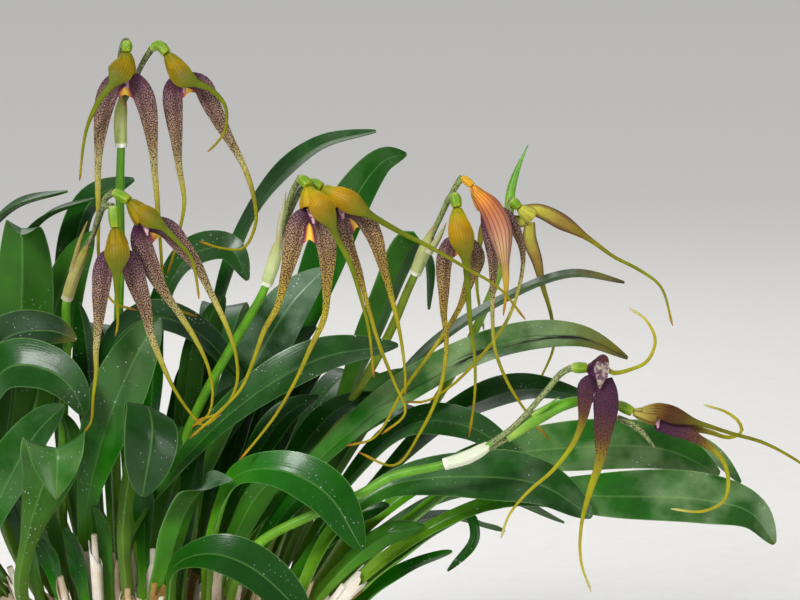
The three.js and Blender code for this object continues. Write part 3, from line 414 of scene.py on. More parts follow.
def smooth_path(points, steps=24):
    """A centripetal Catmull-Rom curve through points, with the share of its length at each place."""
    knots = np.array(points, float)
    knots = np.vstack([2 * knots[0] - knots[1], knots, 2 * knots[-1] - knots[-2]])
    shares = np.linspace(0, 1, steps, endpoint=False)[:, None]
    parts = []
    for p0, p1, p2, p3 in zip(knots, knots[1:], knots[2:], knots[3:]):
        d0, d1, d2 = (math.sqrt(max(np.linalg.norm(b - a), 1e-6))
                      for a, b in ((p0, p1), (p1, p2), (p2, p3)))
        m1 = ((p1 - p0) / d0 - (p2 - p0) / (d0 + d1) + (p2 - p1) / d1) * d1
        m2 = ((p2 - p1) / d1 - (p3 - p1) / (d1 + d2) + (p3 - p2) / d2) * d1
        parts.append(p1 + m1 * shares + (3 * (p2 - p1) - 2 * m1 - m2) * shares ** 2
                     + (2 * (p1 - p2) + m1 + m2) * shares ** 3)
    dense = np.vstack([*parts, knots[-2][None]])
    run = np.concatenate([[0], np.cumsum(np.linalg.norm(np.diff(dense, axis=0), axis=1))])
    return dense, run


def unit(vectors):
    """Vectors brought to a length of one."""
    return vectors / np.maximum(np.linalg.norm(vectors, axis=-1, keepdims=True), 1e-9)


def frames_along(points, shares, face, face_at, face_tip=None):
    """Places, tangents, ups and sides at shares of a path. The up is the face at one place and is
    carried both ways from there without turning about the path, unless the tip has its own face."""
    dense, run = smooth_path(points)
    at = lambda where: np.stack([np.interp(where * run[-1], run, dense[:, k]) for k in range(3)], 1)
    steps = 96
    grid = np.linspace(0, 1, steps + 1)
    tangent_at = lambda where: unit(at(np.minimum(where + 0.004, 1)) - at(np.maximum(where - 0.004, 0)))
    tangents = tangent_at(grid)
    ups = np.zeros((steps + 1, 3))
    start = round(face_at * steps)
    for order in (range(start, steps + 1), range(start, -1, -1)):
        up = np.array(face, float)
        for i in order:
            up = unit(up - up.dot(tangents[i]) * tangents[i])
            ups[i] = up
    if face_tip:
        aim, side = np.array(face_tip, float), np.cross(tangents[-1], ups[-1])
        turn = math.atan2(aim.dot(side), aim.dot(ups[-1]))
        eased = np.clip((grid - face_at) / (0.92 - face_at), 0, 1)[:, None]
        turn = turn * eased ** 2 * (3 - 2 * eased)
        ups = ups * np.cos(turn) + np.cross(tangents, ups) * np.sin(turn)
    shares = np.asarray(shares, float)
    tangent = tangent_at(shares)
    up = np.stack([np.interp(shares, grid, ups[:, k]) for k in range(3)], 1)
    up = unit(up - (up * tangent).sum(1, keepdims=True) * tangent)
    return at(shares), tangent, up, np.cross(tangent, up)


def round_rings(at, side, up, radius, turns):
    """Rings of points about the places on a path, from their radii and turns."""
    return (at[:, None] + side[:, None] * (radius * np.sin(turns))[..., None]
            + up[:, None] * (radius * np.cos(turns))[..., None])


def shell(rings, across, along, ends, material=0, **marks):
    """A closed skin through rings of points: its points, faces, map, marks and material."""
    count, size = rings.shape[:2]
    points = np.vstack([rings.reshape(-1, 3), ends])
    faces = []
    for i in range(count - 1):
        for j in range(size):
            a, b = i * size + j, i * size + (j + 1) % size
            faces.append((a, b, b + size, a + size))
    first, last = count * size, count * size + 1
    for j in range(size):
        k = (j + 1) % size
        faces.append((first, k, j))
        faces.append((last, (count - 1) * size + j, (count - 1) * size + k))
    flat = np.stack(np.broadcast_arrays(across, along[:, None]), -1)
    flat = np.vstack([flat.reshape(-1, 2), [[0.5, along[0]], [0.5, along[-1]]]])
    values = {}
    for name, value in marks.items():
        whole = np.broadcast_to(np.asarray(value, float), (count, size)).reshape(-1)
        values[name] = np.concatenate([whole, [whole[0], whole[-1]]])
    return {"points": points, "faces": faces, "map": flat, "marks": values, "material": material}


def paper_shell(outer, inner, turns, material, **marks):
    """The skin of a thin tube that is open at both ends, from the rings of its outer and inner wall."""
    rings = np.concatenate([outer, inner[::-1]])
    count, size, levels = len(rings), len(turns), len(outer)
    faces = []
    for i in range(count):
        for j in range(size):
            k, n = (j + 1) % size, (i + 1) % count
            faces.append((i * size + j, i * size + k, n * size + k, n * size + j))
    along = np.concatenate([np.linspace(0, 1, levels), np.linspace(1, 0, levels)])
    flat = np.stack(np.broadcast_arrays(turns / (2 * math.pi), along[:, None]), -1)
    values = {name: np.full(count * size, float(value)) for name, value in marks.items()}
    return {"points": rings.reshape(-1, 3), "faces": faces, "map": flat.reshape(-1, 2), "marks": values,
            "material": material}


def make_piece(name, shells, materials):
    """One mesh object from closed skins in millimetres, with its map, its marks and its materials."""
    points, faces, slots, flat = [], [], [], []
    marks = {key: [] for item in shells for key in item["marks"]}
    for item in shells:
        base = sum(len(part) for part in points)
        points.append(item["points"])
        flat.append(item["map"])
        faces += [tuple(base + k for k in face) for face in item["faces"]]
        slots += [item["material"]] * len(item["faces"])
        for key, values in marks.items():
            values.append(item["marks"].get(key, np.zeros(len(item["points"]))))
    mesh = bpy.data.meshes.new(name)
    mesh.from_pydata(np.vstack(points) * MM, [], faces)
    mesh.polygons.foreach_set("material_index", slots)
    corner = np.zeros(len(mesh.loops), int)
    mesh.loops.foreach_get("vertex_index", corner)
    mesh.uv_layers.new(name="along").uv.foreach_set("vector", np.vstack(flat)[corner].ravel())
    for key, values in marks.items():
        mesh.attributes.new(key, "FLOAT", "POINT").data.foreach_set("value", np.concatenate(values))
    skin = bmesh.new()
    skin.from_mesh(mesh)
    bmesh.ops.recalc_face_normals(skin, faces=skin.faces)
    skin.to_mesh(mesh)
    skin.free()
    piece = bpy.data.objects.new(name, mesh)
    bpy.context.scene.collection.objects.link(piece)
    for finish in materials:
        mesh.materials.append(finish)
    bpy.ops.object.select_all(action="DESELECT")
    piece.select_set(True)
    bpy.context.view_layer.objects.active = piece
    bpy.ops.object.shade_smooth_by_angle(angle=SMOOTH_ANGLE)
    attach(piece, "root")
    return piece


def blade_share(u, blunt):
    """Share of the full width at a share of the blade's length: a slow swelling and a blunt tip."""
    rise = np.clip((u + 0.05) / (WIDEST_AT + 0.05), 0, 1)
    fall = np.clip((u - WIDEST_AT) / (1 - WIDEST_AT), 0, 1)
    return np.where(u < WIDEST_AT, rise ** 2 * (3 - 2 * rise), (1 - fall ** 2.1) ** blunt)


# Places across a leaf, from its left edge to its right, for its upper face and back along its lower one.
LEAF_TOP = np.array([-1, -0.94, -0.8, -0.6, -0.4, -0.22, -0.09, 0, 0.09, 0.22, 0.4, 0.6, 0.8, 0.94, 1])
LEAF_BELOW = np.array([0.97, 0.8, 0.5, 0.25, 0.1, 0, -0.1, -0.25, -0.5, -0.8, -0.97])


def stem_foot(x, y, first=True):
    """The path of a stem below its free part: up from its hole, or off the side of the first stem."""
    return [(x, y, FOOT_Z), (x, y, SOIL_Z), (x, y, SOIL_Z + UPRIGHT)] if first else [(x, y, SOIL_Z + BRANCH)]


def leaf_shell(start, path, width, face, face_at=0.65, face_tip=None, channel=0.2, stalk=STALK_SHARE,
               shade=0.5, painted_tip_shade=None, brown=0, streak=0, bloom=0, blunt=0.68, seed=0):
    """One leaf from its foot to its tip, along the path of its solid."""
    points = [*start, *path]
    stalk_shares = np.linspace(0, stalk, 22)
    u = 1 - (1 - np.linspace(0, 1, 44)[1:]) ** TIP_CROWDING
    shares = np.concatenate([stalk_shares, stalk + (1 - stalk) * u[:-1] * 0.999])
    at, tangent, up, side = frames_along(points, shares, face, face_at, face_tip)
    blade_u = np.concatenate([np.full(len(stalk_shares), -1.0), u[:-1]])
    on_blade = np.clip((shares - stalk) / (1 - stalk), 0, 1)
    swell = np.where(blade_u < 0, 0, blade_share(blade_u, blunt))
    flare = np.minimum(STALK_FLARE, 0.45 * width - STALK_HALF)
    stalk_half = STALK_HALF + flare * np.clip(shares / stalk, 0, 1) ** 1.5
    to_tip = blade_u > WIDEST_AT
    half = np.where(to_tip, width / 2 * swell, stalk_half + (width / 2 - stalk_half) * swell)
    thick = np.where(to_tip, BLADE_THICK * (0.45 + 0.55 * swell),
                     STALK_THICK + (BLADE_THICK - STALK_THICK) * swell)
    edge = np.where(to_tip, BLADE_EDGE * (0.6 + 0.4 * swell), STALK_EDGE + (BLADE_EDGE - STALK_EDGE) * swell)
    hollow = np.where(blade_u < 0, STALK_CHANNEL, channel * half)
    rng = random.Random(seed)
    waves, phase = rng.uniform(1.5, 3), rng.uniform(0, 6)
    wave = EDGE_WAVE * np.sin(2 * math.pi * waves * on_blade + phase) * swell
    rings = []
    for s, above in ((LEAF_TOP, True), (LEAF_BELOW, False)):
        lift = hollow[:, None] * np.abs(s) ** 1.45 + wave[:, None] * np.sign(s) * s ** 2
        wide = s * half[:, None]
        if above:
            lift = lift - GROOVE_DEEP * swell[:, None] * np.exp(-(wide / GROOVE_WIDE) ** 2)
        else:
            keel = (thick - edge)[:, None] * np.exp(-(wide / KEEL_WIDE) ** 2)
            lift = lift - edge[:, None] * (1 - 0.55 * np.abs(s) ** 6) - keel
        rings.append(at[:, None] + side[:, None] * wide[..., None] + up[:, None] * lift[..., None])
    rings = np.concatenate(rings, 1)
    across = np.concatenate([(LEAF_TOP + 1) / 2, (LEAF_BELOW + 1) / 2])
    along = np.where(shares < stalk, 0.4 * shares / stalk, 0.4 + 0.6 * (shares - stalk) / (1 - stalk))
    upper = np.concatenate([np.ones(len(LEAF_TOP)), np.zeros(len(LEAF_BELOW))])
    # A folded tip takes its own painted shade: brighter as if lit, or darker to grey its painted sheen.
    if painted_tip_shade is not None:
        shade = np.interp(along, (0.7, 0.78), (shade, painted_tip_shade))[:, None]
    tip = at[-1] + tangent[-1] * 0.25 * half[-1] + up[-1] * (0.3 * hollow[-1] - 0.4 * edge[-1])
    return shell(rings, across, along, [at[0], tip], upper=upper, shade=shade, brown=brown, streak=streak,
                 bloom=bloom)


SHEATH_SIDES = 18
SHEATH_WALL = 0.3
SHEATH_RADII = np.array([2.9, 3.0, 3.05, 3.05, 3.05, 3.1, 3.15, 3.25, 3.45])[:, None]


def sheath_shell(points, face, reach, lean, seed, age, girth=1.0):
    """A papery sheath wrapped round a stalk from the soil up, with a slanted and frayed top."""
    rng = random.Random(seed)
    length = smooth_path(points)[1][-1]
    shares = np.linspace(4 / length, reach / length, len(SHEATH_RADII))
    at, tangent, up, side = frames_along(points, shares, face, 0.3)
    turns = np.linspace(0, 2 * math.pi, SHEATH_SIDES, endpoint=False)
    fray = np.array([rng.uniform(-1.6, 1.6) for _ in turns]) + lean * np.cos(turns - rng.uniform(0, 6))
    creases = 1 + 0.035 * np.sin(turns * 5 + rng.uniform(0, 6))
    lift = np.linspace(0, 1, len(SHEATH_RADII))[:, None] ** 3 * fray
    walls = [round_rings(at, side, up, (girth * SHEATH_RADII - wall) * creases, turns)
             + tangent[:, None] * lift[..., None] for wall in (0, SHEATH_WALL)]
    return paper_shell(*walls, turns, 1, shade=age)


# Waxy leaf cuticle: dark glossy green above and a duller, paler green below, with a pale midrib and
# margin, fine lengthwise veins, white lime flecks, greyish patches of painted sheen, and a stalk that
# fades to yellow-green at its foot.
leaf_cuticle, add = new_material("waxy_leaf_cuticle", IOR=1.24, Coat_Weight=0.08, Coat_Roughness=0.12)
coords = add("TexCoord")
leaf_map = add("UVMap", uv_map="along")
place = add("SeparateXYZ", {"Vector": leaf_map})
upper, tone, brown, streak, painted_sheen_amount = (
    add("Attribute", attribute_name=mark) for mark in ("upper", "shade", "brown", "streak", "bloom"))
dark_side = add("ValToRGB", {"Fac": place["Y"]}, [(0, "#98a05c"), (0.1, "#749030"), (0.25, "#487414"),
    (0.4, "#1f5208"), (0.52, "#0c3a04"), (0.75, "#072d02"), (1, "#082b03")])
bright_side = add("ValToRGB", {"Fac": place["Y"]}, [(0, "#a8b06a"), (0.1, "#8aaa34"), (0.25, "#689a18"),
    (0.42, "#387e0c"), (0.6, "#166202"), (0.8, "#105202"), (1, "#124804")])
under_side = add("ValToRGB", {"Fac": place["Y"]}, [(0, "#acb46c"), (0.12, "#84a43c"), (0.35, "#609424"),
    (0.6, "#3c7a18"), (1, "#2a6010")])
# The shade mark mixes darker and brighter greens; the inner leaves and folded tips use it for painted shade
# and light.
under_tone = add("MapRange", {"Value": tone, 3: 0.34, 4: 1.1})
below = add("HueSaturation", {"Color": under_side, "Value": under_tone})
above = add("Mix", {0: tone, 6: dark_side, 7: bright_side})
sides = add("Mix", {0: upper, 6: below, 7: above})
mottle = add("TexNoise", {"Vector": coords, "Scale": 70, "Detail": 5})
mottle_share = add("MapRange", {"Value": mottle, 1: 0.3, 2: 0.7, 3: 0.78, 4: 1.22})
mottled = add("HueSaturation", {"Color": sides, "Value": mottle_share})
# The veins run lengthwise, about a millimetre apart, and wander a little.
wander = add("TexNoise", {"Vector": leaf_map, "Scale": 5, "Detail": 2})
vein_turn = add("Math", {0: place["X"], 1: 118}, operation="MULTIPLY")
vein_shift = add("Math", {0: wander, 1: 14, 2: vein_turn}, operation="MULTIPLY_ADD")
veins = add("Math", {0: vein_shift}, operation="SINE")
vein_share = add("MapRange", {"Value": veins, 1: 0.2, 2: 1, 4: 0.05})
veined = add("Mix", {0: vein_share, 6: mottled, 7: "#45762c"})
from_middle = add("Math", {0: place["X"], 1: 0.5}, operation="SUBTRACT")
off_middle = add("Math", {0: from_middle}, operation="ABSOLUTE")
rib_and_margin = add("ValToRGB", {"Fac": off_middle}, [(0, 0.3), (0.012, 0.22), (0.03, 0), (0.475, 0),
    (0.492, 0.35), (0.5, 0.5)])
ribbed = add("Mix", {0: rib_and_margin, 6: veined, 7: "#6f9a54"})
# Hard water leaves white flecks on the blades, and thin greyish patches of painted sheen lie on them.
flecks = add("TexVoronoi", {"Vector": coords, "Scale": 520})
fleck_size = add("Math", {0: mottle, 1: 0.35, 2: flecks}, operation="MULTIPLY_ADD")
fleck_dot = add("MapRange", {"Value": fleck_size, 1: 0.33, 2: 0.22, 4: 0.75})
crowd = add("TexNoise", {"Vector": coords, "Scale": 48, "Detail": 4})
crowd_share = add("MapRange", {"Value": crowd, 1: 0.49, 2: 0.62})
fleck_share = add("Math", {0: fleck_dot, 1: crowd_share}, operation="MULTIPLY")
painted_sheen_share = add("MapRange", {"Value": crowd, 1: 0.42, 2: 0.62, 3: 0.06, 4: 0.85})
painted_sheen_reach = add("MapRange", {"Value": place["Y"], 1: 0.45, 2: 0.7, 4: 0.8})
for share in (upper, painted_sheen_reach, painted_sheen_amount):
    painted_sheen_share = add("Math", {0: painted_sheen_share, 1: share}, operation="MULTIPLY")
# The painted sheen is blue-grey on dark leaves and yellow-grey on bright ones.
painted_sheen_shade = add("Mix", {0: tone, 6: "#78967c", 7: "#98ae78"})
sheen_painted = add("Mix", {0: painted_sheen_share, 6: ribbed, 7: painted_sheen_shade})
flecked = add("Mix", {0: fleck_share, 6: sheen_painted, 7: "#c4d2cc"})
# Old tips dry from olive to brown, and one leaf has black streaks beside its midrib.
tip_start = add("Math", {0: brown, 1: -0.3, 2: 1}, operation="MULTIPLY_ADD")
past_tip = add("Math", {0: place["Y"], 1: tip_start}, operation="SUBTRACT")
ragged = add("Math", {0: mottle, 1: 0.16, 2: past_tip}, operation="MULTIPLY_ADD")
dry_share = add("MapRange", {"Value": ragged, 1: 0.08, 2: 0.15})
dried = add("Mix", {0: dry_share, 6: flecked, 7: "#5f5a1c"})
dead_share = add("MapRange", {"Value": ragged, 1: 0.16, 2: 0.22})
dead = add("Mix", {0: dead_share, 6: dried, 7: "#241810"})
streak_map = add("Mapping", {"Vector": leaf_map, "Scale": (9, 16, 1)})
streak_noise = add("TexNoise", {"Vector": streak_map, "Scale": 1, "Detail": 5})
streak_band = add("ValToRGB", {"Fac": place["X"]}, [(0.42, 0), (0.5, 1), (0.62, 1), (0.72, 0)])
streak_reach = add("MapRange", {"Value": place["Y"], 1: 0.5, 2: 0.75})
streak_cut = add("MapRange", {"Value": streak_noise, 1: 0.48, 2: 0.54})
for share in (streak_reach, streak_cut, streak):
    streak_band = add("Math", {0: streak_band, 1: share}, operation="MULTIPLY")
add("Mix", {0: streak_band, 6: dead, 7: "#1d1712"}, to="Base Color")
sheen = add("MapRange", {"Value": upper, 3: 0.45, 4: 0.2})
add("Math", {0: crowd, 1: 0.2, 2: sheen}, operation="MULTIPLY_ADD", to="Roughness")
vein_bump = add("Bump", {"Height": veins, "Strength": 0.04, "Distance": 0.0003})
cells = add("TexNoise", {"Vector": coords, "Scale": 420, "Detail": 3})
add("Bump", {"Height": cells, "Strength": 0.14, "Distance": 0.0005, "Normal": vein_bump}, to="Normal")

# Dry papery sheath: thin and matte, from cream to tan, with brown lengthwise fibres and a torn rim.
dry_sheath, add = new_material("dry_papery_sheath", Roughness=0.75, IOR=1.4)
coords = add("TexCoord")
sheath_map = add("UVMap", uv_map="along")
stretch = add("Mapping", {"Vector": sheath_map, "Scale": (34, 2.5, 1)})
fibres = add("TexNoise", {"Vector": stretch, "Scale": 1, "Detail": 5})
patches = add("TexNoise", {"Vector": coords, "Scale": 60, "Detail": 3})
tone = add("Attribute", attribute_name="shade")
paper = add("ValToRGB", {"Fac": patches}, [(0.3, "#dcd2bf"), (0.5, "#eae4d6"), (0.7, "#cdb994")])
tan = add("ValToRGB", {"Fac": patches}, [(0.3, "#a07a34"), (0.5, "#b8924a"), (0.7, "#7c5a24")])
aged = add("Mix", {0: tone, 6: paper, 7: tan})
fibre_share = add("MapRange", {"Value": fibres, 1: 0.5, 2: 0.72, 4: 0.55})
add("Mix", {0: fibre_share, 6: aged, 7: "#7c5f3b"}, to="Base Color")
add("Bump", {"Height": fibres, "Strength": 0.5, "Distance": 0.0004}, to="Normal")

leaf_number = 0
for name, (foot, leaves) in [*LEAFY_STEMS.items(), *BACK_TUFTS.items()]:
    if name in BACK_TUFTS:
        made = []
        for azimuth, reach, height, droop, width in leaves:
            turn = math.radians(azimuth)
            dx, dy = math.cos(turn), math.sin(turn)
            along_z = ((0.1, 0.4 * height), (0.3, 0.78 * height), (0.65, height), (1, height - droop))
            made.append({
                "path": tuple((foot[0] + dx * reach * share, foot[1] + dy * reach * share, SOIL_Z + z)
                              for share, z in along_z),
                "width": width, "face": (-0.45 * dx, -0.45 * dy, 0.9),
            })
        leaves = made
    # A leaf's bloom value is the amount of painted sheen on its blade.
    shade, brown, bloom = LEAF_LOOKS.get(name, (0.4, 0, 0.1))
    shells = []
    for i, leaf in enumerate(leaves):
        leaf_number += 1
        shade_here = min(max(shade + 0.12 * math.sin(2.7 * leaf_number), 0), 1)
        start = stem_foot(*foot, i == 0)
        shells.append(leaf_shell(start, **leaf, shade=shade_here, brown=brown if i == 0 else 0,
                                 streak=float(name == "spotted"), bloom=bloom, seed=leaf_number))
        usual = (18 + 12 * abs(math.sin(1.9 * leaf_number)), abs(math.sin(2.3 * leaf_number)))
        reach, age = SHEATHS.get(name, usual) if i == 0 else usual
        shells.append(sheath_shell([*start, *leaf["path"]], leaf["face"], reach, SHEATH_LEAN, leaf_number,
                                   age))
    node_name = f"leafy_tuft_{name}" if name in BACK_TUFTS else f"leafy_stem_{name}"
    piece = make_piece(f"{node_name}_blades", shells, [leaf_cuticle, dry_sheath])
    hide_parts(node_name)

# The inner leaves
# Young narrow leaves crowd the heart of the clump, between the big ones. They are made of the same
# stalk, blade and sheath, and grow from the same medium. The solids leave them out.
INNER_STALK_SHARE = 0.5
INNER_SHEATH_GIRTH = 0.95
# Shares of the way out and of the rise at the places of a path, then each leaf's foot, tip, width and shade.
INNER_ARCH = ((0.1, 0.28), (0.4, 0.66), (0.72, 0.92), (1, 1))
# Their shades are painted shade: darkest deep in the back of the clump, brighter at the front.
INNER_LEAVES = (
    ((-38, -7), (-46, -10, 184), 13, 0.3), ((-34, 9), (-42, 10, 226), 15, 0.2),
    ((-30, 27), (-36, 28, 214), 14, 0.3), ((-27, -25), (-33, -28, 150), 9, 0.7),
    ((-14, -22), (-12, -24, 172), 12, 0.4), ((-1, -22), (12, -24, 176), 12, 0.5),
    ((-10, -11), (30, -8, 196), 14, 0.25), ((4, -8), (56, -4, 190), 14, 0.3),
    ((6, 6), (42, 8, 208), 15, 0.15), ((-6, 27), (16, 30, 226), 15, 0.15),
    ((10, 20), (54, 24, 214), 15, 0.2), ((14, -3), (78, 2, 190), 13, 0.35),
    ((8, -22), (44, -24, 162), 11, 0.7), ((14, -20), (64, -22, 160), 11, 0.8),
    ((31, -13), (84, -16, 148), 11, 0.6), ((-18, -6), (2, -8, 178), 12, 0.5),
    ((-34, -28), (-44, -32, 142), 9, 0.8), ((-8, -28), (2, -32, 150), 9, 0.9),
    ((33, 14), (96, 22, 196), 14, 0.2), ((20, 26), (66, 34, 206), 14, 0.2),
    ((2, 18), (28, 22, 190), 13, 0.3), ((42, -14), (98, -18, 140), 9, 0.8),
    ((-18, 9), (-8, 9, 216), 14, 0.6), ((-12, 12), (8, 14, 206), 13, 0.7),
    ((-42, -13), (-64, -16, 158), 12, 0.4), ((-42, -21), (-58, -25, 138), 10, 0.7),
    ((-56, 2), (-74, 2, 152), 12, 0.4), ((-6, 6), (10, 6, 222), 12, 0.4),
)
shells = []
for number, ((x, y), (tip_x, tip_y, tip_z), width, shade) in enumerate(INNER_LEAVES, 60):
    rise, dx, dy = tip_z - SOIL_Z, tip_x - x, tip_y - y
    path = [(x + dx * out, y + dy * out, SOIL_Z + rise * up) for out, up in INNER_ARCH]
    start = stem_foot(x, y)
    face = (-0.5, -0.6, 0.4) if number % 3 else (0.4, 0.8, 0.3)
    shells.append(leaf_shell(start, path, width, face, stalk=INNER_STALK_SHARE, shade=shade, seed=number))
    reach, age = 20 + 14 * abs(math.sin(1.9 * number)), abs(math.sin(2.3 * number))
    shells.append(sheath_shell([*start, *path], face, reach, SHEATH_LEAN, number, age,
                               INNER_SHEATH_GIRTH))
piece = make_piece("inner_leaves", shells, [leaf_cuticle, dry_sheath])

# The flowering stems
# Each is one slender round stalk with a papery bract at its top node, where the pedicels leave. A
# pedicel is speckled and bends over into the smooth, ribbed ovary that carries the bloom.
RING_GAP = 1.6
BRACT_SIDES = 22
BRACT_LEVELS = 14
BRACT_WALL = 0.35
PEDUNCLE_RADII = (2.1, 2.0, 2.0, 1.95, 1.9, 1.85, 1.7, 1.4)
PEDICEL_RADII = (1.2, 1.1, 1.1, 1.15, 1.35)
OVARY_RADII = (1.5, 1.85, 2.1, 2.15, 2.1, 1.95, 1.75)
CLOSED_BRACT_RADII = (1.8, 2.1, 2.0, 1.7, 1.2, 0.6, 0.2)
# The path of each pedicel and of its ovary, by stem and bloom.
FLOWER_STALKS = {
    "a1": (((-21, -9, 307), (-22, -9, 318), (-21, -11, 328), (-19, -15, 332), (-18, -18, 332)),
          ((-18, -18, 332), (-18, -19, 328))),
    "a2": (((-21, -9, 307), (-17, -7, 315), (-13, -7, 323), (-9, -9, 329)),
          ((-9, -9, 329), (-6, -11, 330), (-3, -13, 327))),
    "b1": (((-35, -27, 251), (-31, -31, 258), (-28, -35, 266), (-25, -39, 270), (-22, -41, 270)),
          ((-22, -41, 270), (-21, -43, 262))),
    "b2": (((-33, -28, 253), (-28, -33, 265), (-25, -35, 273), (-22, -36, 275)),
          ((-22, -36, 275), (-16, -39, 272))),
    "c1": (((41, -33, 254), (44, -35, 267), (47, -37, 276), (50, -39, 281)),
          ((50, -39, 281), (53, -42, 278))),
    "c2": (((41, -32, 254), (46, -33, 268), (50, -34, 276), (53, -35, 279)),
          ((53, -35, 279), (58, -37, 277))),
    "d1": (((100, -24, 256), (104, -27, 265), (107, -30, 272), (109, -32, 274)),
          ((109, -32, 274), (110, -34, 269))),
    "d2": (((100, -23, 256), (106, -26, 269), (110, -28, 277), (112, -29, 280)),
          ((112, -29, 280), (116, -31, 277))),
    "e1": (((134, 42, 256), (133, 42, 261), (134, 41, 264)), ((134, 41, 264), (137, 41, 261))),
    "f1": (((121, -50, 178), (132, -49, 186), (144, -47, 199), (150, -46, 206), (154, -45, 208)),
          ((154, -45, 208), (160, -45, 208))),
    "f2": (((122, -49, 177), (135, -46, 184), (148, -42, 193), (159, -40, 195), (172, -40, 193)),
          ((172, -40, 193), (178, -41, 190))),
}
FLOWERING_STEMS = {
    "a": {
        "foot": (-26, 14),
        "peduncle": ((-28, 13, 165), (-26, 11, 215), (-24, 4, 248), (-23, -4, 272), (-22, -7, 290)),
        "bract": ((-22, -7, 290), (-22, -8, 301), (-21, -9, 309)),
    },
    "b": {
        "foot": (-46, 0),
        "peduncle": ((-48, -4, 123), (-47, -6, 168), (-46, -8, 193), (-44, -12, 212), (-43, -18, 231)),
        "bract": ((-43, -18, 231), (-39, -23, 242), (-34, -28, 252)),
    },
    "c": {
        "foot": (-12, 0),
        "peduncle": ((-11, -1, 122), (-7, -3, 151), (0, -6, 169), (11, -13, 193), (24, -20, 216),
            (36, -29, 238)),
        "bract": ((36, -29, 238), (39, -31, 247), (41, -33, 255)),
    },
    "d": {
        "foot": (22, 8),
        "peduncle": ((32, 8, 120), (56, 7, 169), (70, 3, 189), (84, -7, 216), (91, -16, 234),
            (94, -18, 241)),
        "bract": ((94, -18, 241), (97, -21, 249), (100, -24, 257)),
    },
    "e": {
        "foot": (42, 32),
        "peduncle": ((57, 37, 108), (86, 41, 153), (111, 38, 194), (125, 40, 223), (132, 41, 243),
            (134, 42, 256)),
        "bract": ((133, 43, 255), (134, 46, 267), (137, 47, 277), (141, 48, 286)),
    },
    "f": {
        "foot": (20, -30),
        "peduncle": ((22, -36, 118), (32, -41, 137), (58, -45, 152), (73, -47, 159), (85, -48, 166),
            (105, -49, 171)),
        "bract": ((105, -49, 171), (114, -50, 174), (123, -50, 179)),
    },
}


def tube_shell(points, radii, sides, material, ribs=0, shade=0.0, brown=0.0):
    """A round closed strand along a path, with radii spread along it and, if asked, lengthwise ribs."""
    count = max(6, int(smooth_path(points)[1][-1] / RING_GAP))
    shares = np.linspace(0, 1, count)
    at, tangent, up, side = frames_along(points, shares, (0.3, -0.5, 0.8), 0)
    radius = np.interp(shares, np.linspace(0, 1, len(radii)), radii)
    turns = np.linspace(0, 2 * math.pi, sides, endpoint=False)
    ribbed = 1 + ribs * np.abs(np.cos(3 * turns)) - ribs / 2
    rings = round_rings(at, side, up, radius[:, None] * ribbed, turns)
    return shell(rings, turns / (2 * math.pi), shares, [at[0] - tangent[0] * 0.2, at[-1] + tangent[-1] * 0.3],
                 material, shade=shade, brown=brown)


def bract_shell(points, tip_reach, white, brown, girth, seed, material):
    """A papery bract: a loose tube round the node that opens on one side into a point."""
    levels = np.linspace(0, 1, BRACT_LEVELS)
    at, tangent, up, side = frames_along(points, levels, (0, -1, 0.3), 0)
    turns = np.linspace(0, 2 * math.pi, BRACT_SIDES, endpoint=False)
    profile = np.interp(levels, [0, 0.12, 0.5, 0.8, 1], [2.3, 2.4, 2.65 * girth, 2.45 * girth, 1.9 * girth])
    peak = np.clip(np.cos(turns - random.Random(seed).uniform(-0.6, 0.6)), 0, 1) ** 3
    late = levels[:, None] ** 4
    lift = late * (tip_reach * peak - 1.6 * (1 - peak))
    walls = [round_rings(at, side, up, (profile - wall)[:, None] * (1 + 0.03 * np.sin(4 * turns))
                         * (1 - 0.55 * late * peak), turns)
             + tangent[:, None] * lift[..., None] for wall in (0, BRACT_WALL)]
    return paper_shell(*walls, turns, material, shade=white, brown=brown)


# Living stem skin: satin green with minute darker speckles, paler towards its foot, olive when it ripens.
stem_skin, add = new_material("satin_stem_skin", Roughness=0.42, IOR=1.42)
coords = add("TexCoord")
place = add("SeparateXYZ", {"Vector": add("UVMap", uv_map="along")})
green = add("ValToRGB", {"Fac": place["Y"]}, [(0, "#88a444"), (0.3, "#6ca01e"), (0.6, "#569212"),
    (1, "#548c10")])
patches = add("TexNoise", {"Vector": coords, "Scale": 160, "Detail": 4})
patch_share = add("MapRange", {"Value": patches, 1: 0.3, 2: 0.7, 3: 0.8, 4: 1.2})
patched = add("HueSaturation", {"Color": green, "Value": patch_share})
dots = add("TexVoronoi", {"Vector": coords, "Scale": 900})
dot_share = add("MapRange", {"Value": dots, 1: 0.28, 2: 0.18, 4: 0.35})
dotted = add("Mix", {0: dot_share, 6: patched, 7: "#2f5a16"})
ripe = add("Attribute", attribute_name="shade")
add("Mix", {0: ripe, 6: dotted, 7: "#7c7c1c"}, to="Base Color")
add("Bump", {"Height": patches, "Strength": 0.15, "Distance": 0.0004}, to="Normal")

# Speckled pedicel skin: grey-green under a dense scatter of purple-black specks.
pedicel_skin, add = new_material("speckled_pedicel_skin", Roughness=0.5, IOR=1.42)
coords = add("TexCoord")
tone = add("Attribute", attribute_name="shade")
speck_noise = add("TexNoise", {"Vector": coords, "Scale": 1700, "Detail": 1})
speck_sum = add("Math", {0: tone, 1: 0.17, 2: speck_noise}, operation="MULTIPLY_ADD")
specks = add("MapRange", {"Value": speck_sum, 1: 0.6, 2: 0.66, 4: 0.85})
add("Mix", {0: specks, 6: "#7f8c50", 7: "#241c20"}, to="Base Color")

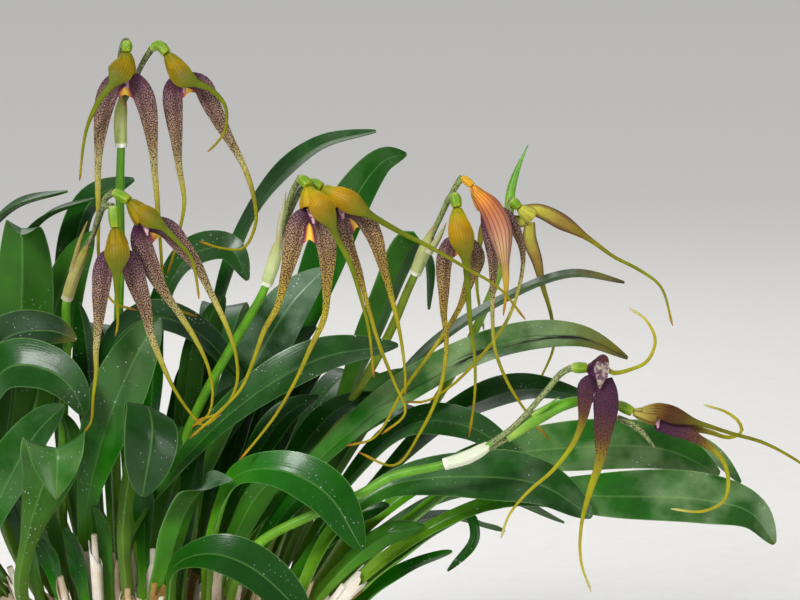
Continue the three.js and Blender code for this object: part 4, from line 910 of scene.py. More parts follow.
# Ovary skin: smooth lime green, paler on its ribs and at the joint with the pedicel, orange when it ages.
ovary_skin, add = new_material("lime_ovary_skin", Roughness=0.42, IOR=1.33)
place = add("SeparateXYZ", {"Vector": add("UVMap", uv_map="along")})
rib_turn = add("Math", {0: place["X"], 1: 37.7}, operation="MULTIPLY")
rib_wave = add("Math", {0: rib_turn}, operation="COSINE")
rib_share = add("MapRange", {"Value": rib_wave, 1: -1, 2: 1, 4: 0.4})
lime = add("ValToRGB", {"Fac": place["Y"]}, [(0, "#a2aa60"), (0.14, "#789626"), (0.5, "#5a800a"),
    (0.85, "#6e8806"), (1, "#848a06")])
limed = add("Mix", {0: rib_share, 6: lime, 7: "#86a838"})
ripe = add("Attribute", attribute_name="shade")
add("Mix", {0: ripe, 6: limed, 7: "#d09418"}, to="Base Color")

# Papery bract: thin cream skin, washed green, with fine lengthwise nerves and a pink-orange tip.
bract_paper, add = new_material("cream_bract_paper", Roughness=0.6, IOR=1.4)
coords = add("TexCoord")
place = add("SeparateXYZ", {"Vector": add("UVMap", uv_map="along")})
cream = add("ValToRGB", {"Fac": place["Y"]}, [(0, "#f0efe4"), (0.07, "#ecebdc"), (0.1, "#aab868"),
    (0.45, "#c2ca84"), (0.85, "#a4ae58"), (0.96, "#b08040"), (1, "#b85c2c")])
wash = add("TexNoise", {"Vector": coords, "Scale": 170, "Detail": 5})
wash_share = add("MapRange", {"Value": wash, 1: 0.42, 2: 0.7, 4: 0.5})
washed = add("Mix", {0: wash_share, 6: cream, 7: "#7f9a42"})
nerve_turn = add("Math", {0: place["X"], 1: 120}, operation="MULTIPLY")
nerves = add("Math", {0: nerve_turn}, operation="SINE")
nerve_share = add("MapRange", {"Value": nerves, 1: 0.5, 2: 1, 4: 0.25})
nerved = add("Mix", {0: nerve_share, 6: washed, 7: "#8d9a5a"})
tone = add("Attribute", attribute_name="shade")
bleached = add("Mix", {0: tone, 6: nerved, 7: "#d8dccb"})
old_part = add("Attribute", attribute_name="brown")
add("Mix", {0: old_part, 6: bleached, 7: "#86702f"}, to="Base Color")
add("Bump", {"Height": nerves, "Strength": 0.3, "Distance": 0.0002}, to="Normal")

# By stem: how densely the pedicel is speckled (0 to 1), how far the bract's point reaches, and how
# bleached, how brown and how wide the bract is.
STEM_LOOKS = {
    "a": (0.9, 3, 0, 0, 1), "b": (0.8, 4, 0, 0.6, 0.88), "c": (0.5, 5, 0.15, 0, 1),
    "d": (0.2, 5, 0.1, 0.1, 1), "e": (0.1, 0, 0, 0, 1), "f": (0.45, 0.5, 0.75, 0, 1),
}
STEM_RIPENESS = {"d": 0.6, "e": 0.35}
# The smaller bracts and scales beside them: path, radii, which of the stem's four materials, and how
# bleached or speckled and how brown each is.
EXTRA_BRACTS = {
    "b": [(((-40, -24, 243), (-36, -29, 256), (-33, -31, 263)), (1.3, 1.1, 0.8, 0.2), 3, 0.1, 0.8)],
    "c": [(((41, -32, 250), (42, -34, 262), (43, -35, 268), (44, -35, 275)), (1.7, 1.6, 1.5, 1.2, 0.6, 0.2),
           3, 0.5, 0.45)],
    "d": [(((99, -25, 250), (103, -26, 256), (106, -27, 262)), (1.6, 1.4, 0.9, 0.2), 3, 0.3, 0.4)],
    "f": [(((129, -48, 181), (140, -46, 188), (150, -44, 193), (160, -42, 195)), (1.9, 2.5, 2.7, 2.3, 1.6),
           0, 0, 0),
          (((139, -47, 190), (144, -48, 193), (149, -48, 197)), (1.3, 0.9, 0.2), 0, 0, 0),
          (((172, -42, 188), (180, -43, 184), (187, -43, 176)), (1.2, 1.6, 1.1, 0.2), 1, 0.75, 0)],
}
for letter, stem in FLOWERING_STEMS.items():
    speckles, tip_reach, white, brown, bract_girth = STEM_LOOKS[letter]
    inside_bract = [] if letter == "e" else [stem["bract"][-1]]
    shells = [tube_shell([*stem_foot(*stem["foot"]), *stem["peduncle"], *inside_bract], PEDUNCLE_RADII,
                         16, 0, shade=STEM_RIPENESS.get(letter, 0))]
    if letter == "e":
        shells.append(tube_shell(stem["bract"], CLOSED_BRACT_RADII, 14, 0))
    else:
        shells.append(bract_shell(stem["bract"], tip_reach, white, brown, bract_girth, ord(letter), 3))
    for path, radii, material, pale, browned in EXTRA_BRACTS.get(letter, ()):
        shells.append(tube_shell(path, radii, 12, material, shade=pale, brown=browned))
    for key, (pedicel, ovary) in FLOWER_STALKS.items():
        if key[0] != letter:
            continue
        shells.append(tube_shell(pedicel, PEDICEL_RADII, 12, 1, shade=speckles))
        # The ovary of the withering bloom is thin and has turned orange.
        girth, ripe = (0.74, 0.85) if key == "d2" else (1, 0)
        shells.append(tube_shell(ovary, [girth * r for r in OVARY_RADII], 24, 2, ribs=0.1, shade=ripe))
    piece = make_piece(f"flowering_stem_{letter}_fine", shells,
                       [stem_skin, pedicel_skin, ovary_skin, bract_paper])
    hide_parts(f"flowering_stem_{letter}")

# The blooms
# Each bloom has a golden hood, which is the cup with the upper sepal and its long tail, and two
# spotted side sepals joined at their root. A thin chin between them and a mauve lip show in the mouth.
FRONT = (0, -1, 0.15)
SEPAL_THICK = 1.3
SEPAL_RIB_WIDE = 0.4
CHANNEL_DEEP, CHANNEL_WIDE = 0.4, 0.6
# Each bloom's mouth, then the path, the length of the body and the width of each sepal.
BLOOMS = {
    "a1": {
        "mouth": (-19, -19, 320),
        "dorsal": (((-18, -21, 326), (-20, -25, 321), (-23, -26, 316), (-28, -26, 310), (-33, -24, 300),
            (-35, -23, 292), (-36, -22, 285), (-37, -20, 278)), 15, 10),
        "left": (((-19, -18, 318), (-24, -18, 315), (-27, -18, 308), (-29, -18, 296), (-30, -18, 283),
            (-30, -19, 266), (-30, -20, 247), (-28, -21, 236), (-24, -22, 230), (-15, -22, 227)), 36, 8.5),
        "right": (((-18, -18, 318), (-14, -18, 315), (-11, -18, 308), (-9, -18, 296), (-8, -18, 283),
            (-7, -17, 268), (-6, -16, 250), (-5, -16, 238), (0, -16, 227), (8, -18, 224)), 36, 8.5),
    },
    "a2": {
        "mouth": (3, -15, 318),
        "dorsal": (((-1, -16, 325), (3, -20, 319), (9, -21, 316), (15, -20, 313), (20, -20, 307),
            (20, -19, 298), (17, -18, 293), (13, -18, 289)), 18, 9),
        "left": (((2, -13, 317), (-1, -11, 313), (-1, -11, 306), (0, -11, 295), (1, -11, 283), (3, -11, 269),
            (1, -11, 257), (-2, -11, 246), (-4, -11, 240)), 36, 8),
        "right": (((3, -13, 317), (10, -11, 315), (14, -11, 307), (20, -11, 295), (26, -11, 284),
            (30, -10, 272), (31, -9, 260), (26, -9, 250), (18, -10, 250), (9, -12, 253)), 40, 8),
    },
    "b1": {
        "mouth": (-20, -45, 254),
        "dorsal": (((-21, -45, 260), (-20, -49, 255), (-20, -50, 247), (-20, -50, 240), (-20, -49, 233),
            (-20, -49, 225), (-21, -49, 221)), 19, 10),
        "left": (((-21, -43, 252), (-25, -42, 249), (-27, -42, 238), (-28, -43, 225), (-29, -44, 215),
            (-29, -45, 206), (-30, -47, 197), (-31, -48, 187), (-34, -49, 183)), 36, 8),
        "right": (((-20, -43, 252), (-16, -42, 249), (-13, -42, 240), (-10, -43, 231), (-8, -43, 221),
            (-4, -43, 210), (1, -43, 199), (7, -43, 190), (12, -43, 185), (19, -43, 190)), 36, 8.5),
    },
    "b2": {
        "mouth": (-10, -40, 265),
        "dorsal": (((-14, -41, 270), (-9, -45, 267), (-3, -46, 263), (3, -46, 257), (8, -46, 251),
            (10, -46, 243), (11, -46, 235)), 18, 8),
        "left": (((-11, -38, 263), (-12, -36, 256), (-8, -37, 246), (-4, -38, 238), (2, -38, 229),
            (9, -39, 218), (14, -43, 208), (16, -48, 197), (14, -50, 190), (8, -51, 186)), 36, 8.5),
        "right": (((-9, -38, 263), (-2, -36, 261), (4, -36, 254), (10, -37, 246), (15, -38, 236),
            (21, -41, 224), (25, -44, 212), (25, -48, 201), (19, -52, 192), (10, -54, 189)), 36, 8),
    },
    "c1": {
        "mouth": (54, -44, 270),
        "dorsal": (((54, -45, 276), (57, -49, 272), (61, -50, 266), (64, -50, 259), (69, -50, 249),
            (73, -50, 236), (76, -50, 224), (78, -50, 205)), 20, 9.5),
        "left": (((53, -42, 268), (49, -42, 264), (47, -43, 255), (44, -45, 243), (41, -47, 232),
            (36, -49, 223), (32, -51, 212), (27, -54, 201), (19, -57, 193), (8, -58, 183)), 36, 8),
        "right": (((54, -42, 268), (58, -42, 263), (60, -43, 253), (60, -45, 241), (59, -47, 228),
            (54, -49, 217), (48, -51, 204), (41, -54, 192), (34, -57, 183), (27, -60, 175)), 36, 8.5),
    },
    "c2": {
        "mouth": (65, -38, 271),
        "dorsal": (((60, -40, 276), (67, -43, 273), (75, -44, 268), (87, -44, 261), (99, -45, 255),
            (113, -46, 247), (126, -46, 239), (136, -46, 227)), 22, 9),
        "left": (((65, -36, 269), (66, -35, 263), (68, -35, 254), (72, -36, 244), (75, -37, 233),
            (80, -39, 216), (86, -41, 201), (90, -43, 190), (81, -45, 182)), 34, 6),
        "right": (((66, -36, 269), (73, -35, 266), (78, -35, 258), (81, -35, 248), (84, -36, 237),
            (87, -37, 225), (89, -38, 214), (90, -39, 204), (90, -39, 196)), 38, 7.5),
    },
    "d1": {
        "mouth": (111, -34, 258.3),
        "dorsal": (((110, -36, 267), (111, -39, 261), (113, -39, 252), (114, -38, 241), (115, -38, 226),
            (117, -37, 210), (117, -36, 195), (115, -34, 179)), 22, 10),
        "left": (((111, -32, 256), (107, -32, 254), (105, -31, 246), (105, -31, 236), (105, -32, 227),
            (106, -34, 217), (104, -37, 200), (96, -40, 182), (86, -41, 169), (72, -41, 174)), 36, 6.5),
        "right": (((111, -32, 256), (115, -30, 254), (118, -27, 248), (115, -26, 239), (111, -25, 228),
            (105, -25, 218), (98, -26, 208), (89, -29, 196), (78, -36, 179), (67, -38, 176)), 34, 6.5),
    },
    "d2": {
        "mouth": (121, -32, 269),
        "dorsal": (((117, -33, 275), (122, -37, 270), (126, -38, 262), (128, -38, 250), (129, -37, 237),
            (128, -36, 227)), 38, 10),
        "left": (((121, -30, 267), (122, -30, 261), (124, -31, 249), (124, -31, 235), (124, -31, 225),
            (125, -31, 213), (130, -32, 200), (137, -33, 189), (146, -35, 178)), 34, 5.5),
        "right": (((122, -29, 267), (129, -26, 265), (134, -25, 257), (136, -24, 249), (135, -23, 238),
            (130, -22, 223), (120, -22, 209), (108, -23, 197), (98, -23, 191), (90, -24, 191)), 30, 5),
    },
    "e1": {
        "mouth": (142, 44, 257),
        "dorsal": (((139, 44, 260), (146, 45, 259), (156, 45, 254), (167, 44, 247), (177, 42, 240),
            (187, 40, 235), (196, 39, 228), (201, 38, 212)), 34, 7),
        "left": (((141, 46, 255), (135, 49, 254), (127, 50, 256), (123, 49, 252), (121, 48, 243),
            (120, 46, 228), (123, 45, 209)), 30, 6),
        "right": (((142, 46, 254), (142, 47, 247), (145, 46, 238), (147, 44, 229), (151, 42, 215),
            (152, 41, 203), (146, 40, 188)), 30, 6),
    },
    "f1": {
        "mouth": (166, -47, 207),
        "dorsal": (((162, -47, 210), (165, -50, 211), (169, -50, 207), (177, -48, 208), (183, -47, 211),
            (186, -46, 219), (182, -45, 227), (176, -44, 231)), 9, 7),
        "left": (((165, -48, 204), (160, -49, 202), (159, -50, 196), (158, -50, 188), (155, -50, 180),
            (147, -50, 169), (137, -50, 160), (130, -50, 151), (127, -50, 142)), 24, 7),
        "right": (((166, -48, 204), (167, -49, 200), (167, -50, 192), (166, -50, 183), (165, -50, 173),
            (161, -50, 160), (158, -50, 147), (158, -50, 133), (162, -50, 121)), 34, 10),
    },
    "f2": {
        "mouth": (187, -41, 188),
        "dorsal": (((182, -43, 191), (188, -44, 191), (195, -45, 189), (204, -44, 186), (216, -43, 182),
            (229, -42, 178), (242, -42, 171), (253, -42, 163)), 24, 7),
        "left": (((187, -39, 186), (192, -37, 185), (201, -36, 183), (209, -36, 181), (216, -36, 179),
            (221, -36, 181), (220, -36, 185), (215, -36, 189), (206, -36, 192)), 22, 6),
        "right": (((187, -40, 185), (193, -41, 184), (199, -43, 182), (206, -44, 178), (212, -45, 173),
            (215, -46, 164), (213, -47, 156), (205, -47, 152), (193, -47, 153)), 26, 6.5),
    },
}
RING_TURNS = np.linspace(0, 2 * math.pi, 28, endpoint=False)
# Shares of a sepal's widest half at places along its body: a hood swells late and narrows at once, a
# side sepal is widest near its root and tapers for the rest of its length.
HOOD_OUTLINE = ((0, 0.2, 0.42, 0.55, 0.7, 0.85, 1), (0.46, 0.85, 1, 0.95, 0.66, 0.36, 0.27))
SIDE_OUTLINE = ((0, 0.14, 0.3, 0.5, 0.7, 0.85, 1), (0.7, 0.9, 1, 0.83, 0.6, 0.44, 0.33))


def sepal_shell(path, body, width, outline=SIDE_OUTLINE, bend=0.0, ribs=0.0, channel_at=None,
                thick=SEPAL_THICK, material=0):
    """A sepal: a curved body that narrows into a long round tail with a slightly thickened tip. It has
    raised ribs, or one sunk channel off its middle."""
    length = smooth_path(path)[1][-1]
    body_share = min(body / length, 0.9)
    u = np.linspace(0, 1, 27)
    tail = np.linspace(0, 1, max(8, int(length * (1 - body_share) / 2)))[1:]
    shares = np.concatenate([u * body_share, body_share + (1 - body_share) * tail])
    at, tangent, up, side = frames_along(path, shares, FRONT, 0.2)
    half = np.interp(np.linspace(-0.04, 1.04, 29), *outline) * width / 2
    half = (half[:-2] + half[1:-1] + half[2:]) / 3
    tail_half = np.interp(tail, (0, 0.15, 0.45, 0.88, 0.96, 1),
                          (half[-1], 0.8 * half[-1], 0.68, 0.46, 0.54, 0.2))
    half = np.concatenate([half, tail_half])
    flatness = np.concatenate([np.clip((1 - u) * 1.6, 0, 1), np.zeros(len(tail))])
    deep = np.concatenate([thick / 2 * (0.75 + 0.25 * u), np.minimum(thick / 2, tail_half * 0.9)])
    cos, sin = np.cos(RING_TURNS), np.sin(RING_TURNS)
    wide = -half[:, None] * cos
    above = (sin > 0.05).astype(float)
    lift = deep[:, None] * sin + bend * (half * flatness)[:, None] * np.abs(cos) ** 1.6
    spread = half[:, None] * 0.45
    for middle in (0, spread, -spread):
        lift = lift + ribs * flatness[:, None] * above * np.exp(-((wide - middle) / SEPAL_RIB_WIDE) ** 2)
    sunk = np.zeros_like(lift)
    if channel_at is not None:
        off_channel = (wide - channel_at * half[:, None]) / CHANNEL_WIDE
        sunk = flatness[:, None] * above * np.exp(-off_channel ** 2)
    lift = lift - CHANNEL_DEEP * sunk
    rings = at[:, None] + side[:, None] * wide[..., None] + up[:, None] * lift[..., None]
    along = np.concatenate([0.5 * u, 0.5 + 0.5 * tail])
    return shell(rings[:, ::-1], ((1 - cos) / 2)[::-1], along, [at[0], at[-1] + tangent[-1] * 0.3], material,
                 channel=sunk[:, ::-1], wide=wide[:, ::-1], run=(shares * length)[:, None])


# Shares of the way from the ovary to the mouth and the cup's radius there, on its two walls.
CUP_OUTSIDE = ((0.05, 1.72), (0.12, 2.2), (0.25, 2.8), (0.4, 3.4), (0.58, 3.9), (0.75, 4.25), (0.9, 4.35),
               (1.0, 4.3), (1.02, 4.1))
CUP_INSIDE = ((0.99, 3.75), (0.85, 3.5), (0.65, 3.0), (0.45, 1.9))


def cup_shell(start, mouth, girth):
    """The hollow cup from the ovary to the mouth, with its inner wall."""
    start, mouth = np.array(start, float), np.array(mouth, float)
    axis = mouth - start
    length = np.linalg.norm(axis)
    axis /= length
    up = np.array((0.3, 0.9, 0.2))
    up = unit(up - up.dot(axis) * axis)
    side = np.cross(axis, up)
    ring = np.sin(RING_TURNS)[:, None] * side + np.cos(RING_TURNS)[:, None] * up
    rings = [start + axis * share * length + girth * radius * ring
             for share, radius in CUP_OUTSIDE + CUP_INSIDE]
    along = np.array([share * 0.1 for share, _ in CUP_OUTSIDE] + [0.9, 0.93, 0.96, 1.0])
    ends = [start + axis * 0.02 * length, start + axis * 0.44 * length]
    return shell(np.array(rings), RING_TURNS / (2 * math.pi), along, ends)


def chin_shell(left, right, reach, material):
    """The joined foot of the side sepals below the mouth: a thin sheet between their inner edges, with
    a notched lower edge."""
    columns, rows = 11, 8
    edges = []
    for (path, body, width), inward in ((left, 1), (right, -1)):
        length = smooth_path(path)[1][-1]
        shares = np.linspace(0.5, reach, rows) / length
        at, _, up, side = frames_along(path, shares, FRONT, 0.2)
        half = np.interp(shares * length / body, *SIDE_OUTLINE) * width / 2
        edges.append(at - side * (inward * (half - 0.6))[:, None] + up * 0.1)
    t = np.linspace(0, 1, columns)
    rise = 0.32 * reach * (1 - np.abs(2 * t - 1)) * np.linspace(0, 1, rows)[:, None] ** 3
    sheet = edges[0][:, None] * (1 - t)[:, None] + edges[1][:, None] * t[:, None]
    sheet = sheet + np.array((0, 1.1, 0)) * np.sin(math.pi * t)[:, None]
    sheet = sheet + rise[..., None] * np.array((0, 0, 1))
    rings = np.concatenate([sheet, (sheet + np.array((0, 0.6, 0)))[:, ::-1]], 1)
    return shell(rings, np.concatenate([t, t[::-1]]), np.linspace(0, 1, rows),
                 [rings[0].mean(0), rings[-1].mean(0)], material)


def sepal_skin(name, ground, marks=((0, "#7a2c1e"), (1, "#7a2c1e")), cover=((0, 0), (1, 0)), lines=0.0,
               line_shade="#7a2c1e", roughness=0.55, middle=0.0, margin=0.0, fade=(0.5, 0.3), nerve_pitch=56):
    """Sepal tissue: a ground colour along the sepal under a maze of dark marks that thins to the tail."""
    made, add = new_material(name, Roughness=roughness, IOR=1.26)
    coords = add("TexCoord")
    place = add("SeparateXYZ", {"Vector": add("UVMap", uv_map="along")})
    base = add("ValToRGB", {"Fac": place["Y"]}, stops=ground)
    cloud = add("TexNoise", {"Vector": coords, "Scale": 140, "Detail": 4})
    cloud_share = add("MapRange", {"Value": cloud, 1: 0.3, 2: 0.7, 3: 0.8, 4: 1.2})
    clouded = add("HueSaturation", {"Color": base, "Value": cloud_share})
    # Fine nerves run the length of the sepal.
    nerve_turn = add("Math", {0: place["X"], 1: nerve_pitch}, operation="MULTIPLY")
    nerve_sway = add("Math", {0: cloud, 1: 3.5, 2: nerve_turn}, operation="MULTIPLY_ADD")
    nerves = add("Math", {0: nerve_sway}, operation="SINE")
    nerve_share = add("MapRange", {"Value": nerves, 1: 0.3, 2: 1, 4: lines})
    nerve_fade = add("MapRange", {"Value": place["Y"], 1: fade[0], 2: fade[1]})
    nerve_mask = add("Math", {0: nerve_share, 1: nerve_fade}, operation="MULTIPLY")
    nerved = add("Mix", {0: nerve_mask, 6: clouded, 7: line_shade})
    # Some sepals darken towards both margins.
    from_middle = add("Math", {0: place["X"], 1: 0.5}, operation="SUBTRACT")
    off_middle = add("Math", {0: from_middle}, operation="ABSOLUTE")
    rim_share = add("MapRange", {"Value": off_middle, 1: 0.2, 2: 0.46, 4: margin})
    rim_fade = add("Math", {0: rim_share, 1: nerve_fade}, operation="MULTIPLY")
    rimmed = add("Mix", {0: rim_fade, 6: nerved, 7: "#4c2430"})
    # Pale dots 0.6 mm apart stay free of the dark marks, and shrink as the cover grows.
    wide = add("Attribute", attribute_name="wide")
    run = add("Attribute", attribute_name="run")
    on_skin = add("CombineXYZ", {"X": wide, "Y": run})
    bent = add("TexNoise", {"Vector": coords, "Scale": 500, "Detail": 1}, output=1)
    bend_by = add("VectorMath", {0: bent, "Scale": 0.9}, operation="SCALE")
    bent_place = add("VectorMath", {0: on_skin, 1: bend_by}, operation="ADD")
    maze = add("TexVoronoi", {"Vector": bent_place, "Scale": 1.65, "Randomness": 0.8},
        voronoi_dimensions="2D")
    level = add("ValToRGB", {"Fac": place["Y"]}, stops=cover)
    raised = add("Math", {0: level, 1: 0.9, 2: maze}, operation="MULTIPLY_ADD")
    maze_share = add("MapRange", {"Value": raised, 1: 0.95, 2: 1.06, 4: 0.92})
    dark = add("ValToRGB", {"Fac": place["Y"]}, stops=marks)
    mazed = add("Mix", {0: maze_share, 6: rimmed, 7: dark})
    # A brown line fills the sunk channel of the inner face.
    sunk = add("Attribute", attribute_name="channel")
    line_fade = add("Math", {0: sunk, 1: middle}, operation="MULTIPLY")
    add("Mix", {0: line_fade, 6: mazed, 7: "#3a1c10"}, to="Base Color")
    nerve_bump = add("Bump", {"Height": nerves, "Strength": 0.2, "Distance": 0.0002})
    add("Bump", {"Height": maze, "Strength": 0.2, "Distance": 0.0003, "Normal": nerve_bump}, to="Normal")
    return made


# Velvety spotted tissue: purple at the mouth, then a brown maze on tan that thins to a golden tail.
spotted_tissue = sepal_skin(
    "spotted_sepal_tissue",
    [(0, "#4e263c"), (0.05, "#7a5862"), (0.12, "#a0866c"), (0.28, "#a48a52"), (0.4, "#9c8236"),
     (0.5, "#988828"), (0.7, "#868004"), (0.93, "#8e8204"), (0.98, "#967408"), (1, "#885008")],
    [(0, "#381232"), (0.1, "#38181e"), (0.3, "#301510"), (0.5, "#38240a"), (1, "#6f5a14")],
    [(0, 1), (0.03, 0.86), (0.08, 0.76), (0.2, 0.71), (0.36, 0.68), (0.46, 0.64), (0.54, 0.52), (0.7, 0)],
    middle=0.75)
# Younger spotted tissue: more purple, under a closer maze, with a cream stretch where the tail begins.
purple_tissue = sepal_skin(
    "purple_spotted_sepal_tissue",
    [(0, "#4e2640"), (0.05, "#744c60"), (0.12, "#9a7c74"), (0.28, "#9c8268"), (0.4, "#9a8660"),
     (0.5, "#a89e68"), (0.6, "#989034"), (0.72, "#848004"), (0.93, "#8e8204"), (0.98, "#967408"),
     (1, "#885008")],
    [(0, "#381232"), (0.1, "#36142a"), (0.3, "#311318"), (0.5, "#38240a"), (1, "#6f5a14")],
    [(0, 1), (0.04, 0.92), (0.1, 0.83), (0.22, 0.77), (0.36, 0.73), (0.46, 0.66), (0.54, 0.52), (0.7, 0)],
    middle=0.75)
# Dark velvety tissue: the freshest bloom is almost solid purple, with a faint maze.
dark_tissue = sepal_skin(
    "dark_purple_sepal_tissue",
    [(0, "#4c2444"), (0.2, "#4a2438"), (0.34, "#5c3a24"), (0.44, "#746418"), (0.6, "#8c8c0c"),
     (0.88, "#a09418"), (0.96, "#b0a858"), (1, "#b8b080")],
    [(0, "#2a1028"), (0.2, "#301620"), (0.4, "#342012"), (1, "#6f5a14")],
    [(0, 0.8), (0.2, 0.66), (0.36, 0.6), (0.46, 0.4), (0.55, 0)],
    middle=0.3)
# Golden tissue: the cup and the upper sepal, with faint red nerves and an olive tail with an orange tip.
golden_tissue = sepal_skin(
    "golden_sepal_tissue",
    [(0, "#687004"), (0.03, "#7c7000"), (0.09, "#867000"), (0.2, "#746800"), (0.3, "#5c6402"),
     (0.42, "#505d03"), (0.6, "#5b6804"), (0.84, "#787804"), (0.97, "#907806"), (1, "#8a4c08")],
    lines=0.5, line_shade="#6e3408", roughness=0.45)
# Fresh golden tissue: the same in the youngest hoods, which are clearer yellow at the root.
fresh_tissue = sepal_skin(
    "fresh_golden_sepal_tissue",
    [(0, "#808a08"), (0.03, "#a08e04"), (0.1, "#a88202"), (0.2, "#907002"), (0.3, "#6c6602"),
     (0.42, "#565e03"), (0.6, "#5b6804"), (0.84, "#787804"), (0.97, "#907806"), (1, "#8a4c08")],
    lines=0.4, line_shade="#7c4408", roughness=0.45)
# Withering orange tissue: soft orange with purple and cream lengthwise nerves.
orange_tissue = sepal_skin(
    "withering_orange_tissue",
    [(0, "#d0961c"), (0.05, "#d88820"), (0.12, "#c07438"), (0.22, "#ac7456"), (0.34, "#a88860"),
     (0.5, "#a88a30"), (0.8, "#a8880c"), (1, "#985c10")],
    [(0, "#7a2a3c"), (1, "#5c2a34")],
    lines=0.72, line_shade="#642444", fade=(0.52, 0.42), nerve_pitch=38, margin=0.6)
# Pale tissue: the bloom that is seen from behind is yellow-green with purple-brown margins.
pale_tissue = sepal_skin(
    "pale_green_sepal_tissue",
    [(0, "#bcbc44"), (0.1, "#b4ac3c"), (0.25, "#8a722c"), (0.4, "#706210"), (0.7, "#747c08"),
     (0.93, "#8c8808"), (1, "#a8780c")],
    [(0, "#5c3040"), (1, "#6f5a14")],
    lines=0.35, line_shade="#5c3430", margin=0.85)
# Brownish tissue: a closed bloom with a cream root and red-brown nerves over olive.
brown_tissue = sepal_skin(
    "brown_nerved_sepal_tissue",
    [(0, "#a8a44c"), (0.05, "#94843a"), (0.1, "#685216"), (0.2, "#46280c"), (0.34, "#46340a"),
     (0.46, "#565808"), (1, "#848004")],
    lines=0.7, line_shade="#46200e", nerve_pitch=34)
# Mouth lining: clear yellow in the middle, wine red to purple towards the side sepals.
mouth_lining, add = new_material("yellow_mouth_lining", Roughness=0.45, IOR=1.4)
place = add("SeparateXYZ", {"Vector": add("UVMap", uv_map="along")})
add("ValToRGB", {"Fac": place["X"]}, [(0, "#5a1c46"), (0.16, "#7c2c34"), (0.3, "#c98a26"),
    (0.42, "#e6bc3c"), (0.58, "#e6bc3c"), (0.7, "#c98a26"), (0.84, "#7c2c34"), (1, "#5a1c46")],
    to="Base Color")
# Pale mouth lining of the freshest bloom: whitish tan with purple blotches.
pale_lining, add = new_material("pale_mouth_lining", Roughness=0.45, IOR=1.4)
coords = add("TexCoord")
blotch = add("TexNoise", {"Vector": coords, "Scale": 800, "Detail": 2})
add("ValToRGB", {"Fac": blotch}, [(0.4, "#4c2c40"), (0.52, "#7c6864"), (0.66, "#a39a86")], to="Base Color")
# Lip tissue: mauve with darker blotches.
lip_tissue, add = new_material("mauve_lip_tissue", Roughness=0.4, IOR=1.4)
coords = add("TexCoord")
blotch = add("TexNoise", {"Vector": coords, "Scale": 700, "Detail": 2})
add("ValToRGB", {"Fac": blotch}, [(0.38, "#74405c"), (0.5, "#ac8092"), (0.62, "#c4a0a4")], to="Base Color")

HOODS = {"c1": fresh_tissue, "c2": fresh_tissue, "d1": fresh_tissue, "d2": orange_tissue, "e1": pale_tissue,
         "f1": dark_tissue, "f2": brown_tissue}
SIDES = {"c1": spotted_tissue, "c2": spotted_tissue, "d1": spotted_tissue, "e1": pale_tissue,
         "f1": dark_tissue, "f2": dark_tissue}
CHIN_REACH = {"c1": 14, "c2": 12, "f1": 8, "f2": 6}
SLIM_CUPS, SLIM_GIRTH = ("d2", "e1", "f2"), 0.8
for key, bloom in BLOOMS.items():
    ovary_end = FLOWER_STALKS[key][1][-1]
    mouth = np.array(bloom["mouth"], float)
    chin = CHIN_REACH.get(key, 10)
    lip = min(chin, 9)
    hanging = np.array((0.2, -0.3, -1))
    lip_path = [mouth + (0, 0.6, 0), *(mouth + share * lip * hanging for share in (0.3, 0.5, 0.68))]
    hood = [cup_shell(ovary_end, mouth, SLIM_GIRTH if key in SLIM_CUPS else 1),
            sepal_shell(*bloom["dorsal"], outline=HOOD_OUTLINE, bend=-0.34, ribs=0.22),
            chin_shell(bloom["left"], bloom["right"], chin, 1),
            sepal_shell(lip_path, 0.9 * lip, 3.4, thick=1.0, bend=-0.2, material=2)]
    # E1 shows only its back, and the open F1 shows the inner face of its hood.
    if key == "e1":
        del hood[2:]
    if key == "f1":
        inner_face = [mouth + (-0.5, -3.4, 4), mouth + (-1, -4.6, 0), mouth + (-1.5, -4, -6)]
        hood.append(sepal_shell(inner_face, 9, 6, thick=0.8, bend=0.2, material=1))
    lining = pale_lining if key == "f1" else mouth_lining
    piece = make_piece(f"bloom_{key}_hood", hood, [HOODS.get(key, golden_tissue), lining, lip_tissue])
    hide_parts(f"bloom_{key}_cup_and_upper_sepal")
    sides = [sepal_shell(*bloom["left"], bend=-0.16, channel_at=-0.35),
             sepal_shell(*bloom["right"], bend=-0.16, channel_at=0.35)]
    piece = make_piece(f"bloom_{key}_sides", sides, [SIDES.get(key, purple_tissue)])
    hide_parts(f"bloom_{key}_side_sepals")

# The bark and moss
# The pot is filled with bark chips over long-fibred moss. The solid keeps its place under a layer of
# loose chips and moss strands, which lie clear of the stem feet.
CHIP_COUNT = 190
STRAND_COUNT = 520
MEDIUM_RADIUS = 61
CHIP_SIZE = (8, 5.2, 2.2)
CHIP_ROOM, STRAND_ROOM, OLD_STEM_ROOM = 6.2, 4.4, 4.6
STRAND_RADII = (0.35, 0.5, 0.45, 0.3, 0.12)

# Damp bark fill: dark brown crumbs with patches of living green moss.
bark_fill, add = new_material("damp_bark_fill", Roughness=0.95)
coords = add("TexCoord")
crumbs = add("TexVoronoi", {"Vector": coords, "Scale": 260})
crumb_shade = add("ValToRGB", {"Fac": crumbs}, [(0.1, "#6b4a30"), (0.5, "#3a2819"), (0.9, "#1c130c")])
moss_noise = add("TexNoise", {"Vector": coords, "Scale": 55, "Detail": 6})
moss_share = add("MapRange", {"Value": moss_noise, 1: 0.5, 2: 0.58})
add("Mix", {0: moss_share, 6: crumb_shade, 7: "#5b6b26"}, to="Base Color")
add("Bump", {"Height": crumbs, "Strength": 1, "Distance": 0.003}, to="Normal")
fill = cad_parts["bark_and_moss"]
fill.data.materials.clear()
fill.data.materials.append(bark_fill)

